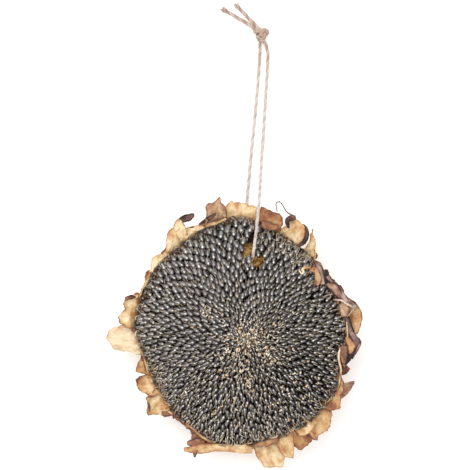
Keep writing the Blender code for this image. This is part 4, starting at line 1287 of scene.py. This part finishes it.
deselect_all()
bpy.ops.mesh.primitive_cylinder_add(vertices=5, radius=1, depth=1)
model = bpy.context.object
bpy.ops.object.mode_set(mode="EDIT")
bpy.ops.mesh.select_all(action="SELECT")
bpy.ops.mesh.subdivide(number_cuts=2)
bpy.ops.object.mode_set(mode="OBJECT")
for vert in model.data.vertices:
    vert.co.xy = vert.co.xy * (0.7 + 0.5 * vert.co.z + 0.35 * noise.noise(vert.co * 2.3))
    vert.co.x += 1.6 * vert.co.z**2
corner_count = len(model.data.vertices)

draw = random.Random(31)
placings, tones = [], []
for middle_x, middle_y, spread, count in CLUSTERS:
    for _ in range(count):
        x, y = draw.gauss(middle_x, spread * 0.55), draw.gauss(middle_y, spread * 0.55)
        share = math.hypot(x, y) / 84
        if share > 0.97 or in_pocket(x, y):
            continue
        spot = Vector((x, y, top_height(share) - draw.uniform(-0.3, 1.2)))
        matrix = (
            Matrix.Translation(spot * MM)
            @ Matrix.Rotation(draw.uniform(0, 2 * math.pi), 4, "Z")
            @ Matrix.Rotation(math.radians(draw.uniform(35, 95)), 4, "Y")
            @ Matrix.Diagonal(
                (draw.uniform(0.5, 0.9) * MM, draw.uniform(0.5, 0.9) * MM, draw.uniform(1.6, 3.0) * MM, 1)
            )
        )
        placings.append(matrix)
        tones.extend([draw.choice(FLORET_TONES)] * corner_count)
finish(scatter("dry_florets", model, placings, tone=tones), straw, "dry_bract")

# Torn pith round the hole
# Where the twine was pushed through, some seeds are gone and the ochre pith is torn open. It is a
# small ragged mound from a grid, sunk at the hole, with torn strips of pith that curl over it.

HOLE = (9.5, 58.5)
HOLE_RADIUS = 1.7
MOUND_CENTRE, MOUND_HALF = (9.0, 59.0), (10.0, 10.5)
MOUND_TOP, MOUND_THICKNESS = 24.4, 1.4
EDGE_DROP, RIGHT_DROP, HOLE_DROP = 3.4, 2.5, 3.0  # how much lower the mound is there
TORN_STRIPS = 56

# Fresh torn pith: spongy, ochre to dark brown, with coarse fibres.
torn, tree, output = new_material("torn_pith")
place = add_node(tree, "ShaderNodeTexCoord").outputs["Object"]
sponge = add_noise(tree, place, 420, 6, 0.7)
colour = add_ramp(tree, sponge, (0.30, "3A2410"), (0.42, "8A5D2A"), (0.52, "C08F49"), (0.68, "E2C084"))
add_surface(tree, output, colour, 0.9, sponge, bump_strength=0.9, bump_depth=0.6)

deselect_all()
bpy.ops.mesh.primitive_grid_add(x_subdivisions=22, y_subdivisions=36, size=2)
mound = bpy.context.object
mound.name = "torn_pith_mound"
for vert in mound.data.vertices:
    x = MOUND_CENTRE[0] + vert.co.x * MOUND_HALF[0]
    y = MOUND_CENTRE[1] + vert.co.y * MOUND_HALF[1]
    edge = max(abs(vert.co.x), abs(vert.co.y))
    rough = noise.noise(Vector((x / 2.4, y / 2.4, 1))) * 1.6 + noise.noise(Vector((x, y, 5))) * 0.8
    height = MOUND_TOP + rough - EDGE_DROP * ease((edge - 0.6) / 0.4)
    height -= RIGHT_DROP * ease((x - 8) / 4)
    near = math.hypot(x - HOLE[0], y - HOLE[1])
    height -= HOLE_DROP * (1 - ease((near - HOLE_RADIUS) / 2.0))
    vert.co = Vector((x, y, height)) * MM
apply_modifier(mound, "SOLIDIFY", thickness=MOUND_THICKNESS * MM, offset=-1)
finish(mound, torn, "dry_bract", "receptacle")

draw = random.Random(83)
points, faces = [], []
for _ in range(TORN_STRIPS):
    spot = Vector((draw.gauss(12.4, 2.8), draw.gauss(55.6, 3.2), draw.uniform(24.5, 29.0)))
    heading, curl, step = draw.uniform(0, 360), draw.uniform(-150, 150), draw.uniform(0.7, 1.5)
    add_thread(draw, points, faces, spot, heading, curl, step, draw.uniform(0.3, 0.6))
finish(add_mesh("torn_pith_strips", points, faces), torn, "dry_bract")

# Twine
# One length of jute twine, 2.6 mm thick and laid from three plies, is threaded through the hole and
# knotted above the head. Each stretch is three plies wound round the route that it lies along.

TWINE_DIAMETER = 2.6
FLOOR = TWINE_DIAMETER / 2 + 0.3  # the middle of a strand that lies on the floor
PLIES = 3
PLY_RADIUS = TWINE_DIAMETER / 2 / (1 + 2 / math.sqrt(3))
LAY_LENGTH = 8.5  # of one turn of the plies
RING_STEP = 0.9
PLY_SIDES = 7
PLY_TONES = (-0.05, 0.05, 0.18)
HAIRS = 90
HAIR_RADII = (0.10, 0.09, 0.07, 0.03)
TAIL_HAIRS, TAIL_SWELLING = 14, 1.15  # the cut ends are a little thicker
FRAYED_FIBRES = 26
FRAYED_RADII = (0.24, 0.22, 0.18, 0.13, 0.05)
ROUTES = {  # points along each stretch: x, y and height
    "twine_front": (
        (9.5, 58.5, 15.4), (9.5, 58.5, 20.0), (9.5, 58.6, 25.0), (9.6, 59.6, 30.0), (9.9, 63.0, 33.6),
        (10.8, 69.5, 35.2), (11.9, 78.0, 36.0), (13.0, 88.0, 36.6), (14.0, 98.0, 35.6), (14.8, 108.0, 30.0),
        (15.3, 117.0, 20.5), (15.7, 125.0, 11.0), (16.2, 133.0, 4.6), (16.9, 142.0, 2.0),
        (17.6, 152.0, FLOOR), (18.6, 167.0, FLOOR), (19.6, 184.0, FLOOR), (20.7, 202.0, FLOOR),
        (21.3, 214.0, FLOOR), (21.2, 222.0, 2.2), (19.6, 227.6, 3.6), (18.4, 229.5, 4.2),
    ),
    "twine_back": (
        (9.5, 58.5, 15.0), (9.5, 58.5, 10.5), (9.4, 59.2, 6.6), (9.0, 62.5, 3.4), (8.0, 69.0, 1.9),
        (6.4, 79.0, FLOOR), (5.0, 90.0, FLOOR), (4.8, 102.0, FLOOR), (6.2, 119.0, FLOOR),
        (8.4, 143.0, FLOOR), (11.1, 170.0, FLOOR), (13.2, 194.0, FLOOR), (14.5, 212.0, FLOOR),
        (15.0, 220.0, 2.0), (15.1, 226.4, 3.4), (15.1, 228.9, 4.2),
    ),
    "twine_tail_long": (
        (15.0, 236.2, 5.0), (10.9, 239.6, 4.6), (7.6, 242.2, 3.4), (3.6, 244.8, 2.4), (-0.5, 247.4, 1.8),
        (-5.5, 250.3, FLOOR), (-10.0, 252.8, FLOOR), (-14.5, 255.4, FLOOR),
    ),
    "twine_tail_short": (
        (16.6, 235.6, 5.0), (12.9, 241.3, 4.6), (10.4, 243.9, 3.3), (7.4, 247.0, 2.3), (4.0, 250.6, FLOOR),
        (0.4, 254.3, FLOOR), (-3.8, 258.6, FLOOR),
    ),
}

# Jute: hairy, matt bast fibre, pale tan with greyer and browner fibres laid along each ply. shade
# runs from bleached to brown, and the fibres are 0.3 mm wide.
jute, tree, output = new_material("jute_fibre")
coordinates = add_node(tree, "ShaderNodeTexCoord")
fibre_place = add_node(
    tree, "ShaderNodeMapping", {"Scale": (2.5, 0.25, 1)}, {"Vector": coordinates.outputs["UV"]}
)
fibres = add_noise(tree, fibre_place.outputs["Vector"], 1.6, 4)
colour = add_ramp(
    tree, times_plus(tree, fibres, 0.5, point_value(tree, "shade")),
    (0.10, "E2DDD8"), (0.35, "CDC3BB"), (0.60, "BA9D89"), (0.80, "936E58"), (1.0, "5B4639"),
)
add_surface(tree, output, colour, 0.92, fibres, bump_strength=0.6, bump_depth=0.3)


def even_points(route):
    """Points RING_STEP apart on a smooth curve through the route's own points, and its length."""
    fine = [Vector(along_stations(route, k / 600)) for k in range(601)]
    length = sum((a - b).length for a, b in zip(fine, fine[1:]))
    count = max(round(length / RING_STEP), 4)
    points, gone, target = [fine[0]], 0.0, length / count
    for before, after in zip(fine, fine[1:]):
        gone += (after - before).length
        if gone >= target * len(points) - 1e-6 and len(points) < count:
            points.append(after.copy())
    return points + [fine[-1]], length


def frames_along(points):
    """Two directions across the line at each point, turned no more than the line turns."""
    frames = []
    side = None
    for k, point in enumerate(points):
        way = (points[min(k + 1, len(points) - 1)] - points[max(k - 1, 0)]).normalized()
        if side is None:
            side = way.orthogonal().normalized()
        side = (side - way * side.dot(way)).normalized()
        frames.append((side.copy(), way.cross(side)))
    return frames


def ply_tube(centres, radii, points, faces, uvs, sides=PLY_SIDES):
    """Adds a closed round tube along centres to the lists of points, faces and face corners' places."""
    first = len(points)
    far = 0.0
    for k, ((side, up), centre, radius) in enumerate(zip(frames_along(centres), centres, radii)):
        far += (centre - centres[max(k - 1, 0)]).length
        for j in range(sides):
            turn = 2 * math.pi * j / sides
            points.append(centre + (side * math.cos(turn) + up * math.sin(turn)) * radius)
    count = len(centres)
    for k in range(count - 1):
        here, beyond = first + k * sides, first + (k + 1) * sides
        low, high = k * far / count, (k + 1) * far / count
        for j in range(sides):
            after = (j + 1) % sides
            faces.append((here + j, here + after, beyond + after, beyond + j))
            uvs.append(((j * 0.6, low), (j * 0.6 + 0.6, low), (j * 0.6 + 0.6, high), (j * 0.6, high)))
    for ring, order in ((0, -1), (count - 1, 1)):
        faces.append(tuple(first + ring * sides + j for j in range(sides))[::order])
        uvs.append(((0, 0),) * sides)


def add_frayed_end(line, draw, points, faces, uvs):
    """Loose fibres that splay from the cut end of a tail."""
    way = (line[-1] - line[-4]).normalized()
    side = way.cross(Vector((0, 0, 1))).normalized()
    for _ in range(FRAYED_FIBRES):
        swing, lift, long = draw.uniform(-0.45, 0.45), draw.uniform(-0.15, 0.3), draw.uniform(1.5, 4.2)
        start = line[-3] + side * draw.uniform(-1.1, 1.1) + Vector((0, 0, draw.uniform(-0.7, 0.7)))
        curve = []
        for t in (0, 0.25, 0.5, 0.75, 1.0):
            spot = start + way * long * t + side * long * t * t * swing
            spot.z = max(spot.z + lift * long * t, 0.3)
            curve.append(spot)
        ply_tube(curve, FRAYED_RADII, points, faces, uvs, sides=4)


def strand_shade(point):
    """Paler and greyer near the head, and browner by the knot."""
    return 0.02 + 0.22 * ease((point.y - 190) / 40)


def strand(name, lines, swelling, lay, hairs, seed, fray=0.0):
    """Twisted plies round each line, with stray hairs, as one mesh. fray opens the last of them."""
    draw = random.Random(seed)
    ply_radius = PLY_RADIUS * swelling
    points, faces, uvs, tones = [], [], [], []
    for line in lines:
        frames = frames_along(line)
        total = len(line)
        step = (line[1] - line[0]).length
        for ply in range(PLIES):
            centres, radii = [], []
            for k, (centre, (side, up)) in enumerate(zip(line, frames)):
                open_out = 1 + fray * ease((k / total - 0.84) / 0.16) * 1.5
                turn = 2 * math.pi * (k * step / lay + ply / PLIES)
                away = (TWINE_DIAMETER / 2 - PLY_RADIUS) * swelling * open_out
                spot = centre + (side * math.cos(turn) + up * math.sin(turn)) * away
                spot.z = max(spot.z, ply_radius + 0.15)
                centres.append(spot)
                lumps = noise.noise(centre * 0.9 + Vector((ply, 0, seed)))
                radii.append(ply_radius * (1.06 + 0.10 * lumps))
            ply_tube(centres, radii, points, faces, uvs)
            tones.extend([PLY_TONES[ply]] * (len(points) - len(tones)))
        for _ in range(hairs):
            k = draw.randrange(2, total - 2)
            side, up = frames[k]
            way = (line[k + 1] - line[k]).normalized()
            turn = draw.uniform(0, 2 * math.pi)
            out = side * math.cos(turn) + up * math.sin(turn)
            start = line[k] + out * (TWINE_DIAMETER / 2 * swelling - 0.25)
            long = draw.uniform(1.5, 4.0)
            lift = draw.uniform(0.35, 1.1)
            bend = way * draw.choice((-1, 1))
            curve = []
            for t in (0, 0.35, 0.7, 1.0):
                spot = start + bend * long * t + out * lift * math.sin(t * draw.uniform(1.2, 2.6))
                spot.z = max(spot.z, 0.15)
                curve.append(spot)
            ply_tube(curve, HAIR_RADII, points, faces, uvs, sides=3)
        if fray:
            add_frayed_end(line, draw, points, faces, uvs)
    tones.extend([0] * (len(points) - len(tones)))
    shades = []
    for point, tone in zip(points, tones):
        stain = 0.15 * noise.noise(point / 4 + Vector((seed, 0, 0)))
        shades.append(strand_shade(point) + tone + stain)
    made = add_mesh(name + "_plies", [point * MM for point in points], faces, shade=shades)
    layer = made.data.uv_layers.new(name="ply")
    layer.data.foreach_set("uv", [number for corners in uvs for corner in corners for number in corner])
    return made


# The knot: both strands laid side by side round an overhand knot, drawn tight and flat.
KNOT_CENTRE = (16.0, 235.4, 5.0)
KNOT_SCALE = (1.62, 1.5, 1.6)
KNOT_RINGS = 64
KNOT_LAY = 0.8 * LAY_LENGTH
KNOT_SWELLING, KNOT_HAIRS = 0.92, 26


def knot_line(offset):
    line = []
    for k in range(KNOT_RINGS + 1):
        t = 2 * math.pi * (0.03 + 0.94 * k / KNOT_RINGS) - 0.55
        x, y = math.sin(t) + 2 * math.sin(2 * t), math.cos(t) - 2 * math.cos(2 * t)
        middle = Vector((x, y, -math.sin(3 * t)))
        outward = Vector((middle.x, middle.y, 0)).normalized()
        spot = Vector([value * scale for value, scale in zip(middle, KNOT_SCALE)]) + outward * offset
        line.append(Vector(KNOT_CENTRE) + spot)
    return line


knot = strand("twine_knot", [knot_line(-1.0), knot_line(1.0)], KNOT_SWELLING, KNOT_LAY, KNOT_HAIRS, 5)
finish(knot, jute, "jute_twine", "twine_knot")

for seed, (name, route) in enumerate(ROUTES.items(), 40):
    line, length = even_points(route)
    is_tail = "tail" in name
    if is_tail:
        piece = strand(name, [line], TAIL_SWELLING, LAY_LENGTH, TAIL_HAIRS, seed, fray=1.0)
    else:
        piece = strand(name, [line], 1.0, LAY_LENGTH, HAIRS, seed)
    finish(piece, jute, "jute_twine", name)

# Floor, light and camera
# The head lies on a plain pale surface in soft light from the upper left, and the camera looks
# straight down on it.

FLOOR_SIZE = 6000
CAMERA_SPOT = (-4.7, 75.8)
CAMERA_HEIGHT = 4200
FRAME_WIDTH = 371.3  # what the picture spans at the height of the seeds
SENSOR = 36.0
LAMPS_AIM = Vector((0, 40, 0))
WORLD_STRENGTH = 0.9

# Matt white board with the finest grain. It glows a little, so that shadows on it are faint.
board, tree, output = new_material("painted_board")
place = add_node(tree, "ShaderNodeTexCoord").outputs["Object"]
grain = add_noise(tree, place, 900, 2)
bump = add_node(tree, "ShaderNodeBump", {"Strength": 0.05, "Distance": 0.2 * MM}, {"Height": grain})
shader = add_node(
    tree,
    "ShaderNodeBsdfPrincipled",
    {
        "Base Color": linear("F7F7F6"), "Roughness": 0.9,
        "Emission Color": linear("FFFFFF"), "Emission Strength": 0.2,
    },
    {"Normal": bump.outputs["Normal"]},
)
tree.links.new(shader.outputs["BSDF"], output.inputs["Surface"])

deselect_all()
bpy.ops.mesh.primitive_plane_add(size=FLOOR_SIZE * MM)
floor = bpy.context.object
floor.name = "floor"
floor.data.materials.append(board)

world = bpy.data.worlds.new("studio")
bpy.context.scene.world = world
world.use_nodes = True
sky = world.node_tree.nodes["Background"]
sky.inputs["Color"].default_value = linear("FFFFFF")
sky.inputs["Strength"].default_value = WORLD_STRENGTH

for name, spot, size, power in (
    ("key_light", (-700, 900, 1900), 1700, 25),
    ("fill_light", (900, -500, 1800), 1800, 7),
):
    lamp = bpy.data.lights.new(name, "AREA")
    lamp.size = size * MM
    lamp.energy = power
    holder = bpy.data.objects.new(name, lamp)
    holder.location = Vector(spot) * MM
    holder.rotation_euler = (LAMPS_AIM - Vector(spot)).to_track_quat("-Z", "Y").to_euler()
    bpy.context.collection.objects.link(holder)

lens = bpy.data.cameras.new("camera")
lens.sensor_width = SENSOR
lens.lens = SENSOR * (CAMERA_HEIGHT - RIM_TOP) / FRAME_WIDTH
camera = bpy.data.objects.new("camera", lens)
camera.location = Vector((*CAMERA_SPOT, CAMERA_HEIGHT)) * MM
bpy.context.collection.objects.link(camera)
bpy.context.scene.camera = camera
bpy.context.scene.view_settings.view_transform = "Standard"
